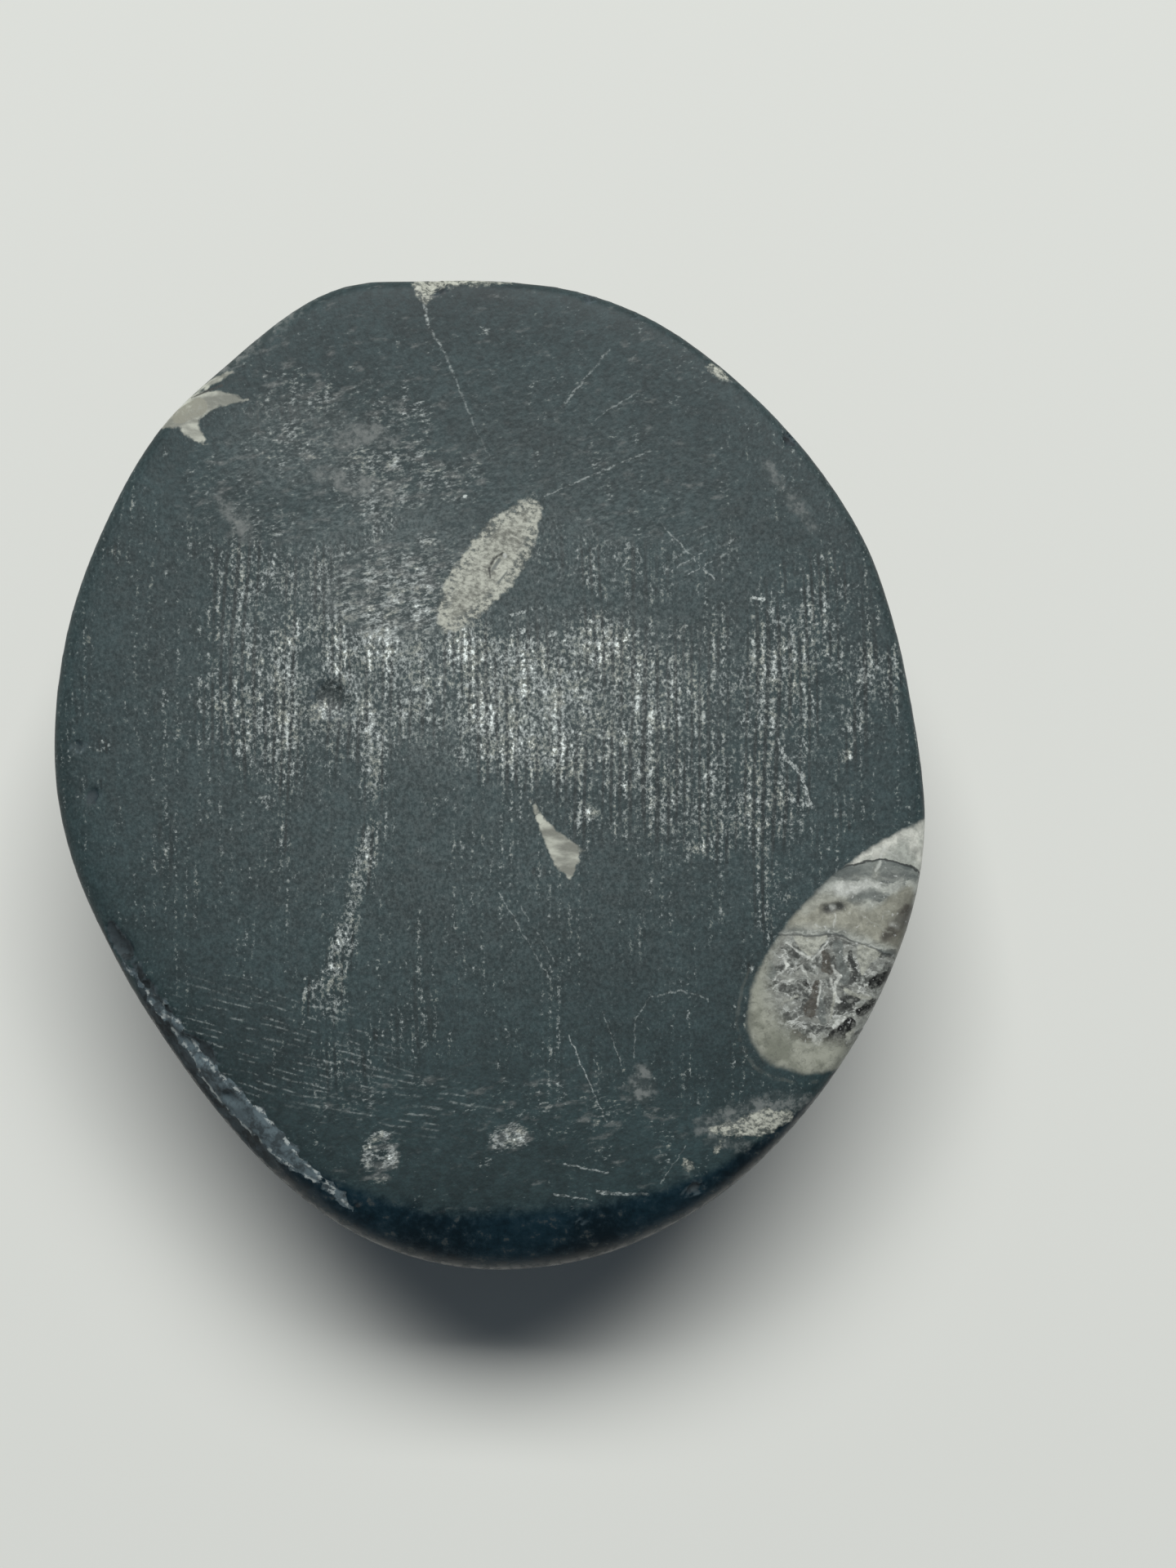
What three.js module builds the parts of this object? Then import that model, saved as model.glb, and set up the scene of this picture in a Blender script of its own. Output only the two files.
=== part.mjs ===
// Hand-size piece of black fossil limestone, sawn flat on one side and ground to a dome on the other.
// It lies on the dome with the sawn face up. Millimetres, +Z up, origin under the middle of its box.

import * as THREE from 'three';

// Overall sizes.
const STONE_HEIGHT = 28;
const REST_SPOT_RADIUS = 9.5;
const REST_SPOT_CENTRE = { x: 0.2, y: -0.4 };

// The sawn face is dead flat over this share of its reach and then falls a little to its edge.
const FLAT_SHARE = 0.88;
const EDGE_FALL = 0.35;

// Fullness of the dome: 2 is an ellipse, and more is squarer.
const DOME_SIDE_FULLNESS = 2.15;
const DOME_BASE_FULLNESS = 2.5;

// Stations round the rim, counter-clockwise from the right: where the stone is widest (x, y), how far
// the edge of the sawn face lies inside that, and how far the widest line lies below the face.
const RIM = [
  { x: 39.3, y: 0.6, inset: 0.8, drop: 1.4 },
  { x: 38.2, y: 7.4, inset: 0.7, drop: 1.4 },
  { x: 36.9, y: 13.6, inset: 0.7, drop: 1.4 },
  { x: 34.6, y: 20.5, inset: 0.8, drop: 1.5 },
  { x: 31.2, y: 26.5, inset: 0.8, drop: 1.6 },
  { x: 26.6, y: 32.2, inset: 0.9, drop: 1.6 },
  { x: 21.0, y: 37.4, inset: 0.8, drop: 1.5 },
  { x: 14.9, y: 41.6, inset: 0.8, drop: 1.5 },
  { x: 8.0, y: 44.2, inset: 0.8, drop: 1.5 },
  { x: 1.0, y: 45.1, inset: 0.8, drop: 1.4 },
  { x: -6.4, y: 45.1, inset: 0.8, drop: 1.4 },
  { x: -12.4, y: 44.8, inset: 1.0, drop: 1.5 },
  { x: -17.2, y: 42.8, inset: 1.1, drop: 1.6 },
  { x: -24.7, y: 36.8, inset: 1.2, drop: 1.7 },
  { x: -29.6, y: 32.1, inset: 1.2, drop: 1.7 },
  { x: -34.1, y: 24.8, inset: 1.3, drop: 1.7 },
  { x: -38.1, y: 14.4, inset: 1.6, drop: 1.8 },
  { x: -39.6, y: 3.2, inset: 1.8, drop: 1.9 },
  { x: -38.3, y: -6.4, inset: 1.8, drop: 2.1 },
  { x: -34.3, y: -16.0, inset: 1.8, drop: 2.5 },
  { x: -29.9, y: -23.6, inset: 2.0, drop: 3.0 },
  { x: -24.9, y: -30.8, inset: 2.4, drop: 3.0 },
  { x: -19.3, y: -36.5, inset: 2.9, drop: 3.2 },
  { x: -13.8, y: -40.9, inset: 3.6, drop: 3.5 },
  { x: -7.0, y: -44.0, inset: 4.5, drop: 3.8 },
  { x: 0.8, y: -45.2, inset: 5.0, drop: 4.0 },
  { x: 10.6, y: -43.7, inset: 4.4, drop: 3.7 },
  { x: 20.5, y: -38.5, inset: 2.6, drop: 2.9 },
  { x: 28.2, y: -31.1, inset: 1.5, drop: 2.1 },
  { x: 34.2, y: -22.3, inset: 0.9, drop: 1.7 },
  { x: 38.3, y: -12.5, inset: 0.8, drop: 1.4 },
  { x: 39.6, y: -4.6, inset: 0.8, drop: 1.4 },
];

// Flat breaks on the wall and the rim: a point on the break, the compass direction that it faces,
// measured counter-clockwise from +X, and how far it looks up from the horizontal, in degrees.
const BREAKS = [
  { name: 'lower left edge', x: -26.4, y: -27.4, z: 25.8, facing: 219, up: 44 },
  { name: 'left edge', x: -36.6, y: -11.2, z: 26.2, facing: 203, up: 34 },
  { name: 'lower left wall', x: -25.8, y: -29.9, z: 20.5, facing: 221, up: -14 },
  { name: 'upper left wall', x: -30.6, y: 28.4, z: 18.5, facing: 137, up: -22 },
  { name: 'upper right wall', x: 28.2, y: 28.6, z: 18.0, facing: 46, up: -26 },
  { name: 'right wall', x: 38.4, y: 2.0, z: 18.0, facing: 4, up: -24 },
];

// Shell-shaped chips along the rim: a middle outside the stone, and the half sizes of the scoop.
const CHIPS = [
  { x: -33.7, y: -19.6, z: 28.9, across: 2.9, deep: 2.3 },
  { x: -30.3, y: -25.2, z: 29.0, across: 3.4, deep: 2.6 },
  { x: -26.6, y: -30.3, z: 28.6, across: 3.0, deep: 2.8 },
  { x: -22.6, y: -34.9, z: 28.7, across: 3.6, deep: 3.0 },
  { x: -17.4, y: -39.4, z: 28.3, across: 3.3, deep: 2.7 },
  { x: -12.2, y: -43.0, z: 27.2, across: 2.6, deep: 1.8 },
  { x: 28.6, y: 32.2, z: 28.9, across: 2.6, deep: 1.3 },
  { x: 17.2, y: 42.5, z: 28.9, across: 2.6, deep: 1.3 },
  { x: -9.2, y: 46.8, z: 28.4, across: 2.6, deep: 1.6 },
  { x: -31.8, y: 31.8, z: 28.4, across: 3.0, deep: 1.6 },
];

// How finely the solid is divided.
const SECTORS_PER_STATION = 4;
const SECTORS = RIM.length * SECTORS_PER_STATION;
const DOME_RINGS = 15;
const SHOULDER_RINGS = 5;
const FACE_SHARES = [0.985, 0.965, 0.94, FLAT_SHARE, 0.72, 0.45, 0.2];

/** A closed smooth line through one point for each station. */
function lineThrough(pointOf) {
  return new THREE.CatmullRomCurve3(RIM.map(pointOf), true, 'centripetal');
}

const widestLine = lineThrough(({ x, y, drop }) => new THREE.Vector3(x, y, STONE_HEIGHT - drop));

const faceLine = lineThrough(({ x, y, inset }) => {
  const share = 1 - inset / Math.hypot(x, y);
  return new THREE.Vector3(x * share, y * share, STONE_HEIGHT - EDGE_FALL);
});

/** Broad unevenness of the ground dome, as a share of its reach. */
function domeSwell(angle, depth) {
  const fade = Math.sin(Math.PI * depth);
  return fade * (0.013 * Math.cos(2 * angle + 0.7) + 0.009 * Math.cos(5 * angle - 1.1)
    + 0.006 * Math.cos(9 * angle + 2.3) * Math.cos(5 * depth));
}

/** A point of the dome, from 0 at the edge of the rest spot to 1 at the widest line. */
function domePoint(widest, height) {
  const turn = height * Math.PI / 2;
  const reach = Math.sin(turn) ** (2 / DOME_SIDE_FULLNESS);
  const rise = 1 - Math.cos(turn) ** (2 / DOME_BASE_FULLNESS);
  const out = new THREE.Vector2(widest.x - REST_SPOT_CENTRE.x, widest.y - REST_SPOT_CENTRE.y);
  const spotShare = REST_SPOT_RADIUS / out.length();
  const swell = domeSwell(out.angle(), height);
  const share = spotShare + (1 - spotShare) * (reach + swell);
  return new THREE.Vector3(
    REST_SPOT_CENTRE.x + out.x * share,
    REST_SPOT_CENTRE.y + out.y * share,
    widest.z * rise,
  );
}

/** A point of the shoulder, from 0 at the widest line to 1 at the edge of the sawn face. */
function shoulderPoint(widest, edge, rise) {
  const bend = new THREE.Vector3(
    THREE.MathUtils.lerp(edge.x, widest.x, 0.9),
    THREE.MathUtils.lerp(edge.y, widest.y, 0.9),
    THREE.MathUtils.lerp(edge.z, widest.z, 0.35),
  );
  return new THREE.QuadraticBezierCurve3(widest, bend, edge).getPoint(rise);
}

/** A point of the sawn face at a share of its reach from the middle. */
function facePoint(edge, share) {
  const fall = share > FLAT_SHARE ? ((share - FLAT_SHARE) / (1 - FLAT_SHARE)) ** 2 : 0;
  return new THREE.Vector3(edge.x * share, edge.y * share, STONE_HEIGHT - EDGE_FALL * fall);
}

/** The stone's section at one place round the rim, from the rest spot's middle to the face's. */
function sectionAt(round) {
  const widest = widestLine.getPoint(round);
  const edge = faceLine.getPoint(round);
  const section = [new THREE.Vector3(REST_SPOT_CENTRE.x, REST_SPOT_CENTRE.y, 0)];
  for (let ring = 0; ring <= DOME_RINGS; ring++) {
    section.push(domePoint(widest, ring / DOME_RINGS));
  }
  for (let ring = 1; ring <= SHOULDER_RINGS; ring++) {
    section.push(shoulderPoint(widest, edge, ring / SHOULDER_RINGS));
  }
  for (const share of FACE_SHARES) {
    section.push(facePoint(edge, share));
  }
  section.push(new THREE.Vector3(0, 0, STONE_HEIGHT));
  return section;
}

/** Lays every point that stands proud of a flat break onto it. */
function breakOff(point, { x, y, z, facing, up }) {
  const compass = THREE.MathUtils.degToRad(facing);
  const tilt = THREE.MathUtils.degToRad(up);
  const normal = new THREE.Vector3(
    Math.cos(compass) * Math.cos(tilt),
    Math.sin(compass) * Math.cos(tilt),
    Math.sin(tilt),
  );
  const proud = normal.dot(new THREE.Vector3(point.x - x, point.y - y, point.z - z));
  if (proud > 0) {
    point.addScaledVector(normal, -proud);
  }
}

/** Lays every point inside a chip's scoop onto the scoop's wall. */
function chipOff(point, { x, y, z, across, deep }) {
  const away = new THREE.Vector3((point.x - x) / across, (point.y - y) / across, (point.z - z) / deep);
  const reach = away.length();
  if (reach < 1) {
    point.set(
      x + away.x / reach * across,
      y + away.y / reach * across,
      z + away.z / reach * deep,
    );
  }
}

/** The whole stone: a lathed body whose sections follow the rim, with its breaks and chips. */
function stoneGeometry() {
  const rings = sectionAt(0).length;
  const turnedProfile = Array.from({ length: rings }, (_, ring) => {
    const height = ring / (rings - 1);
    return new THREE.Vector2(Math.sin(Math.PI * height), height);
  });
  const geometry = new THREE.LatheGeometry(turnedProfile, SECTORS);
  const places = geometry.attributes.position;
  for (let sector = 0; sector <= SECTORS; sector++) {
    const section = sectionAt((sector % SECTORS) / SECTORS);
    section.forEach((point, ring) => {
      BREAKS.forEach((flat) => breakOff(point, flat));
      CHIPS.forEach((chip) => chipOff(point, chip));
      places.setXYZ(sector * rings + ring, point.x, point.y, point.z);
    });
  }
  geometry.computeBoundingBox();
  const middle = geometry.boundingBox.getCenter(new THREE.Vector3());
  geometry.translate(-middle.x, -middle.y, -geometry.boundingBox.min.z);
  geometry.computeVertexNormals();
  return geometry;
}

const limestone = new THREE.MeshStandardMaterial({ color: 0x3b4548, roughness: 0.62, metalness: 0 });

const stone = new THREE.Mesh(stoneGeometry(), limestone);
stone.name = 'fossil_stone';

const fossil = new THREE.Group();
fossil.add(stone);

export default fossil;
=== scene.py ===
"""Hand-size piece of black fossil limestone, dressed over its measured solid.

The sawn face lies up, with its saw marks, pale grains, scratches and the flush calcite of its fossils.
The rim is chipped and broken, and the ground dome below is polished. The tables give millimetres, seen
from above with the middle of the stone at (0, 0). The scene itself is in metres.
"""

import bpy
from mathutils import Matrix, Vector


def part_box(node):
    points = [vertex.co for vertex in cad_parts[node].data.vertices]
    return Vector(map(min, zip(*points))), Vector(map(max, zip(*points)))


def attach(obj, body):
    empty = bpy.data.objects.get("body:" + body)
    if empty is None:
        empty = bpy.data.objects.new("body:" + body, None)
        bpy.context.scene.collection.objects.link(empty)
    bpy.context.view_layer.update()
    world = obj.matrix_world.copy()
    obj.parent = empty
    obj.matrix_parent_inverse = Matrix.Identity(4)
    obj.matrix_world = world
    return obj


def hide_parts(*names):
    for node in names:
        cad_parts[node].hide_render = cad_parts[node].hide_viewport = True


bl_info = {
    "name": "Orthoceras Fossil Stone",
    "version": (1, 0, 0),
    "blender": (4, 5, 0),
    "location": "3D View > Sidebar > Fossil",
    "description": "Dresses the measured solid of a sawn and polished fossil limestone",
    "category": "Object",
}

import math

import bmesh
import bpy
import numpy as np
from bpy.props import FloatProperty, FloatVectorProperty, IntProperty, PointerProperty
from bpy.types import Operator, Panel, PropertyGroup
from mathutils import Vector, noise

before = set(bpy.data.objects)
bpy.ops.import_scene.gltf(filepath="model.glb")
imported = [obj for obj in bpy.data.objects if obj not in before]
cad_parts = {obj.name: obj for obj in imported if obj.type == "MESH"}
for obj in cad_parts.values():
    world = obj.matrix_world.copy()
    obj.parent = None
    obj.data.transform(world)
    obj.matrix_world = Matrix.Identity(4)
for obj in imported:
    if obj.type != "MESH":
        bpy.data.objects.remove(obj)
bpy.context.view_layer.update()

MM = 0.001
NODE = "fossil_stone"
FACE_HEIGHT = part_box(NODE)[1].z / MM

# How rough each kind of surface is, from 0 as a mirror to 1 as chalk.
ROUGHNESS = {"sawn": 0.60, "broken": 0.80, "shell": 0.42, "polished": (0.32, 0.50), "floor": 0.80}

# The height of the stone's finest grain, and the size of the grains of sugary calcite.
TOOTH_HEIGHT = 0.04
SUGAR_GRAIN = 0.36

# Flat breaks on the wall and the rim: a point on the break, the compass direction it faces,
# counter-clockwise from +X, and how far it looks up, in degrees, as in the solid.
BREAKS = [
    ((-26.4, -27.4, 25.8), 219, 44),
    ((-36.6, -11.2, 26.2), 203, 34),
    ((-25.8, -29.9, 20.5), 221, -14),
    ((-30.6, 28.4, 18.5), 137, -22),
    ((28.2, 28.6, 18.0), 46, -26),
    ((38.4, 2.0, 18.0), 4, -24),
]

# Stretches of the rim that are nibbled: compass directions from and to, how many chips, and their
# mean size.
NIBBLED_RIM = [
    (203, 238, 46, 1.0),
    (238, 285, 20, 0.7),
    (285, 300, 6, 0.45),
    (300, 338, 14, 0.45),
    (338, 400, 16, 0.5),
    (40, 75, 14, 0.42),
    (75, 130, 22, 0.55),
    (130, 203, 20, 0.45),
]

# Stretches of the lower rim that are knocked pale: compass directions from and to.
BRUISED_RIM = [(236, 268), (277, 304)]

# Round hollows in the sawn face: middle, radius and depth.
PITS = [
    ((-14.2, 7.3), 1.5, 0.50),
    ((-12.9, 6.4), 1.0, 0.25),
    ((-11.9, 9.6), 1.1, 0.16),
    ((0.9, 19.5), 0.8, 0.14),
    ((31.0, -11.5), 0.7, 0.16),
    ((18.0, -34.8), 0.5, 0.12),
]

# How the surface is worked: how often it is smoothed, how wide the edge of a flat break fades, and
# the step in degrees in which the rim is measured.
SMOOTHINGS = 4
BREAK_FADE = 0.12
RIM_STEP = 0.5

# How far down the wall the matt sawn rock reaches, by the place along Y, and how soft its border is.
MATT_REACH = [(-38.0, 0.24), (-32.0, 0.5), (-20.0, 2.6)]
MATT_BORDER = 0.3

# The share of pale grains where they lie thinnest.
THINNEST_DUST = 0.12

# Where the materials take over from each other: how far down the wall the face's own one goes, and how
# far the large shell's one goes past the shell, with 1 as the shell's edge. Both are plain rock there.
FACE_ZONE = 4.5
SHELL_ZONE = 1.3

# The share of an oval's half width over which it fades in, and how much thinner a trail of calcite gets
# for each millimetre down the wall.
SOFT_EDGE = 0.75
TRAIL_THINNING = 0.22

# How far a ridge of the mesh stands out where it begins to look worn, and how much further until it is
# worn all over.
WORN_RIDGE = 0.025
WORN_RANGE = 0.03

# Where pale grains lie thick on the sawn face: middle, half length and half width, turn in degrees, and how
# thick. The thick ones across the middle of the face also stand for the sheen of its saw marks there, as a
# painted highlight.
DUST_AND_SHEEN_OVALS = [
    ((9.0, 6.5), (20.0, 13.0), -6, 0.84),
    ((3.5, 6.5), (14.0, 10.5), -6, 1.15),
    ((-2.0, 12.0), (5.5, 4.5), 0, 1.15),
    ((-9.0, 11.5), (8.0, 5.0), 0, 1.20),
    ((-15.0, 9.4), (14.0, 12.0), -20, 0.90),
    ((-20.0, 6.0), (9.0, 10.0), 0, 0.80),
    ((-18.0, 1.5), (6.0, 6.0), 0, 0.66),
    ((-7.0, 8.5), (7.0, 6.5), 0, 0.92),
    ((10.0, 12.0), (7.0, 5.0), 0, 1.05),
    ((-8.8, 15.5), (14.0, 9.5), 0, 0.86),
    ((-19.0, 16.0), (10.0, 14.0), 0, 0.72),
    ((-8.0, 27.0), (13.0, 5.0), 0, 0.62),
    ((-10.4, 24.0), (3.5, 6.0), 0, 0.70),
    ((-14.0, 32.0), (15.0, 8.0), -5, 0.54),
    ((-24.0, 23.0), (7.0, 9.0), 0, 0.42),
    ((11.2, 19.3), (10.0, 6.0), -20, 0.52),
    ((27.0, 8.0), (14.0, 14.0), 0, 0.72),
    ((29.0, 12.0), (5.0, 8.0), 0, 0.85),
    ((34.5, 9.5), (4.0, 5.0), 0, 0.80),
    ((20.5, -1.5), (16.0, 9.5), -10, 0.74),
    ((9.5, -3.5), (4.0, 4.0), 0, 0.62),
    ((-10.3, 2.5), (1.5, 9.0), 0, 1.35),
    ((-11.4, -8.0), (1.5, 8.0), -14, 1.25),
    ((5.6, 6.4), (2.4, 3.0), 0, 1.50),
    ((26.5, -11.0), (5.0, 10.0), 15, 0.55),
    ((-13.2, -15.5), (1.8, 8.0), -13, 1.15),
    ((-14.6, -19.6), (3.0, 4.2), 0, 0.90),
    ((-7.0, -21.0), (4.0, 8.0), 0, 0.38),
    ((-12.5, -26.5), (9.0, 5.2), -14, 0.44),
    ((29.5, 17.0), (7.5, 5.5), 0, 0.55),
    ((-36.0, 4.5), (3.5, 12.0), 0, 0.34),
    ((10.0, -28.5), (18.0, 9.0), 0, 0.36),
    ((-19.2, -3.4), (1.9, 6.0), 21, 0.60),
    ((-29.0, -5.5), (1.8, 9.5), 0, 0.36),
    ((1.8, -32.3), (2.9, 1.9), 8, 1.50),
    ((-9.7, -34.0), (2.2, 3.0), 5, 1.00),
    ((-9.7, -32.1), (1.6, 0.9), 0, 1.40),
    ((-9.6, -35.9), (1.5, 0.9), 0, 1.30),
    ((-10.9, -34.0), (0.9, 2.2), 0, 1.40),
    ((-8.5, -34.0), (0.9, 2.2), 0, 1.40),
]

# Where a thin even film of dust lies over the stone; across the middle of the face it also stands for the
# sheen of the saw marks, as a painted highlight.
HAZE_AND_SHEEN_OVALS = [
    ((0.0, 8.0), (56.0, 42.0), 0, 0.055),
    ((2.0, 8.0), (36.0, 16.0), 0, 0.10),
    ((-9.0, 18.0), (18.0, 14.0), 0, 0.10),
    ((6.0, 20.0), (16.0, 10.0), 0, 0.07),
    ((-6.0, 12.0), (12.0, 5.5), 0, 0.12),
    ((-20.0, 12.5), (8.0, 8.0), 0, 0.085),
    ((-17.0, 29.5), (12.0, 8.0), 0, 0.078),
    ((5.4, 6.6), (2.8, 3.2), 0, 0.17),
]

# Where the stone is darker, and by how much. The first oval is painted shade in the large pit of the sawn
# face.
DIM_OVALS = [
    ((-14.3, 7.5), (2.6, 2.1), 0, 0.45),
    ((-22.0, -25.0), (10.0, 8.0), -50, 0.26),
    ((-3.0, -35.0), (24.0, 6.0), 0, 0.16),
    ((-0.8, 6.4), (3.2, 4.4), 0, 0.16),
    ((0.0, 42.0), (20.0, 5.5), 0, 0.14),
]

# Where the pale grains are drawn out into slanting dashes instead of rows.
DASHED_OVALS = [
    ((-5.5, 18.0), (14.0, 7.5), 15, 1.0),
    ((0.0, 40.0), (46.0, 15.0), 0, 1.0),
    ((-18.0, 27.0), (17.0, 9.0), 0, 1.0),
    ((-4.0, 28.5), (16.0, 8.0), 0, 1.0),
    ((-19.0, 7.0), (9.0, 9.0), 0, 0.3),
    ((0.0, -35.0), (36.0, 14.0), 0, 1.0),
    ((14.0, 27.0), (14.0, 9.0), 0, 1.0),
]

# Sugary cream calcite flush in the sawn face: each a trail of points with the trail's half width.
SUGARY_TRAILS = [
    ("long oval", [
        (3.5, 23.9, 1.3), (2.0, 21.8, 2.3), (0.1, 19.0, 2.6), (-1.9, 16.6, 2.2), (-3.3, 14.6, 1.4)]),
    ("top notch", [(-6.0, 44.9, 1.0), (-5.7, 43.9, 0.8), (-5.6, 42.6, 0.2)]),
    ("top notch, right", [(-5.2, 44.8, 0.9), (-3.0, 44.9, 0.55), (0.0, 44.9, 0.40), (2.0, 44.8, 0.25)]),
    ("upper right nick", [(20.2, 36.9, 0.5), (21.2, 36.3, 0.4)]),
    ("lower right patch", [(20.2, -31.5, 0.3), (22.6, -31.4, 0.8), (24.9, -30.9, 1.3), (26.8, -30.4, 0.7)]),
    ("lower right dot", [(20.7, -33.3, 0.35), (20.7, -33.4, 0.35)]),
    ("bottom dot", [(17.9, -34.7, 0.5), (18.2, -34.9, 0.4)]),
    ("left dot", [(-36.1, 12.5, 0.35), (-36.0, 12.4, 0.3)]),
]

# Smooth grey-white calcite.
SMOOTH_TRAILS = [
    ("teardrop", [(3.8, -1.8, 0.1), (4.7, -3.6, 0.35), (5.9, -5.5, 0.85), (7.0, -7.1, 1.2)]),
    ("teardrop foot", [(7.0, -7.1, 1.2), (7.4, -8.7, 0.3)]),
    ("teardrop spur", [(6.6, -6.0, 0.9), (8.5, -6.4, 0.1)]),
    ("star, right", [(-28.2, 33.0, 0.9), (-26.4, 33.7, 1.3), (-24.4, 34.2, 0.8), (-21.4, 34.1, 0.05)]),
    ("star, down", [(-26.9, 33.0, 1.2), (-26.9, 31.6, 0.8), (-25.2, 29.9, 0.1)]),
    ("star, left", [(-27.2, 33.0, 1.2), (-29.4, 32.0, 0.6)]),
    ("star, top", [(-26.6, 34.9, 0.35), (-24.8, 35.9, 0.45), (-23.2, 36.6, 0.25)]),
]

# Dim, dirty calcite that only just shows.
STAINED_TRAILS = [
    ("brown patch", [(-13.0, 30.5, 0.8), (-10.6, 31.1, 0.9), (-8.6, 30.4, 0.5)]),
    ("ragged streak", [(-15.2, 27.4, 0.5), (-12.4, 26.7, 1.0), (-9.6, 25.6, 0.9)]),
    ("dim patch", [(-24.4, 25.4, 0.3), (-22.4, 23.4, 0.8), (-21.6, 21.8, 0.6)]),
    ("lower right halo", [(19.2, -31.3, 0.6), (22.0, -30.4, 1.1), (25.0, -30.2, 1.7), (28.0, -29.5, 1.4)]),
    ("bottom drop", [(13.8, -26.2, 0.6), (13.8, -27.9, 1.1)]),
    ("upper right smear", [(24.9, 28.2, 0.4), (26.6, 26.0, 0.45), (28.4, 23.9, 0.5), (29.2, 22.4, 0.2)]),
    ("lower right flecks", [(20.0, -32.6, 0.4), (23.4, -33.2, 0.6)]),
    ("upper left bevel", [(-15.6, 43.6, 0.3), (-20.0, 40.4, 0.8), (-23.6, 37.6, 0.9), (-26.8, 34.8, 0.5)]),
    ("right bevel", [(36.9, 12.4, 0.1), (38.1, 8.9, 0.35), (38.9, 5.4, 0.1)]),
]

# The pale ledge that the breaks leave along the lower left rim.
LEDGE_TRAIL = [
    (-33.0, -16.6, 0.25), (-30.7, -19.5, 0.5), (-29.8, -20.5, 0.8), (-28.1, -22.5, 0.75),
    (-26.5, -24.9, 0.9), (-25.3, -26.9, 1.2), (-23.3, -29.1, 1.5), (-21.3, -30.8, 1.5),
    (-19.4, -32.7, 1.2), (-16.9, -34.9, 0.9), (-14.7, -36.6, 0.55), (-13.3, -37.6, 0.4),
    (-12.1, -39.1, 0.25),
]

# Single scratches and slivers on the sawn face: from, to, width at each end, and how white.
SCRATCHES = [
    ((15.6, 22.8), (20.4, 17.9), 0.10, 0.16, 0.40),
    ((17.0, 19.0), (19.6, 20.6), 0.10, 0.10, 0.40),
    ((17.6, 18.2), (20.2, 19.6), 0.12, 0.08, 0.45),
    ((5.0, 25.4), (14.6, 29.5), 0.12, 0.18, 0.36),
    ((10.9, 38.6), (6.6, 33.4), 0.14, 0.22, 0.30),
    ((9.6, 32.3), (13.3, 34.7), 0.08, 0.12, 0.28),
    ((26.0, 3.6), (26.6, 2.0), 0.20, 0.45, 0.60),
    ((26.6, 2.0), (28.2, 0.4), 0.45, 0.30, 0.60),
    ((28.2, 0.4), (28.8, -2.3), 0.30, 0.45, 0.60),
    ((1.0, -10.2), (5.7, -18.3), 0.12, 0.10, 0.32),
    ((2.4, -10.6), (6.0, -16.4), 0.08, 0.10, 0.26),
    ((7.2, -23.0), (10.6, -30.7), 0.10, 0.12, 0.50),
    ((10.3, -21.0), (12.0, -25.7), 0.08, 0.08, 0.34),
    ((5.9, -37.4), (9.3, -37.8), 0.22, 0.12, 0.45),
    ((9.8, -37.2), (14.4, -37.4), 0.36, 0.20, 0.60),
    ((6.8, -34.6), (10.7, -35.4), 0.14, 0.20, 0.45),
    ((17.8, -32.9), (15.5, -36.3), 0.08, 0.08, 0.35),
    ((2.0, 14.7), (3.3, 15.0), 0.20, 0.26, 0.80),
    ((23.8, 16.3), (24.8, 16.1), 0.24, 0.34, 1.00),
    ((3.0, 13.3), (3.1, 13.3), 0.62, 0.62, 0.75),
    ((5.7, 13.0), (5.9, 13.0), 0.60, 0.60, 0.60),
    ((-2.2, 25.4), (-2.1, 25.4), 0.30, 0.30, 0.95),
    ((1.5, 20.1), (1.6, 20.1), 0.44, 0.44, 0.95),
    ((13.1, -25.0), (13.2, -21.6), 0.10, 0.12, 0.24),
    ((13.2, -21.6), (14.6, -19.6), 0.12, 0.14, 0.26),
    ((14.6, -19.6), (17.2, -19.0), 0.14, 0.16, 0.30),
    ((17.2, -19.0), (19.8, -19.8), 0.16, 0.12, 0.28),
    ((19.8, -19.8), (20.3, -22.0), 0.12, 0.08, 0.20),
]

# A small shell cut across in the long oval, and the dull middle and the crack of the star: from, to,
# width at each end, and tone.
CALCITE_STROKES = [
    ((1.3, 20.3), (0.5, 19.8), 0.16, 0.24, "dark"),
    ((0.5, 19.8), (0.1, 18.9), 0.24, 0.22, "dark"),
    ((0.1, 18.9), (0.2, 18.1), 0.22, 0.10, "dark"),
    ((1.0, 19.7), (0.4, 18.8), 0.34, 0.26, "grey"),
    ((1.7, 18.6), (0.9, 17.6), 0.14, 0.20, "grey"),
    ((1.5, 20.0), (1.5, 20.1), 0.34, 0.34, "white"),
    ((-27.8, 32.7), (-26.1, 33.5), 1.5, 1.7, "cream"),
    ((-26.8, 34.4), (-24.0, 35.4), 0.14, 0.26, "dark"),
    ((-28.0, 33.6), (-27.4, 34.0), 0.20, 0.16, "white"),
]

# The vein that runs down from the top notch, point by point, its width at the top, and what it loses in
# width and in whiteness from each point to the next.
VEIN = [(-5.8, 42.6), (-5.3, 40.5), (-3.9, 38.3), (-3.1, 36.4), (-2.4, 34.6), (-1.2, 31.6), (0.2, 28.9)]
VEIN_WIDTH = 0.26
VEIN_TAPER = 0.035
VEIN_FADING = 0.13

# Fans of fine parallel scratches: middle, half length and half width, turn in degrees, spacing, and
# how white.
SCRATCH_FANS = [
    ((-18.5, -24.0), (14.0, 6.5), -15, 0.58, 0.30),
    ((-9.0, -28.6), (11.0, 4.0), -8, 0.66, 0.28),
    ((35.2, 9.2), (3.2, 2.4), -48, 0.75, 0.80),
    ((18.6, 20.4), (5.0, 2.6), 24, 0.70, 0.35),
    ((-11.5, 18.4), (6.5, 3.4), 18, 0.85, 0.40),
]

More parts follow.
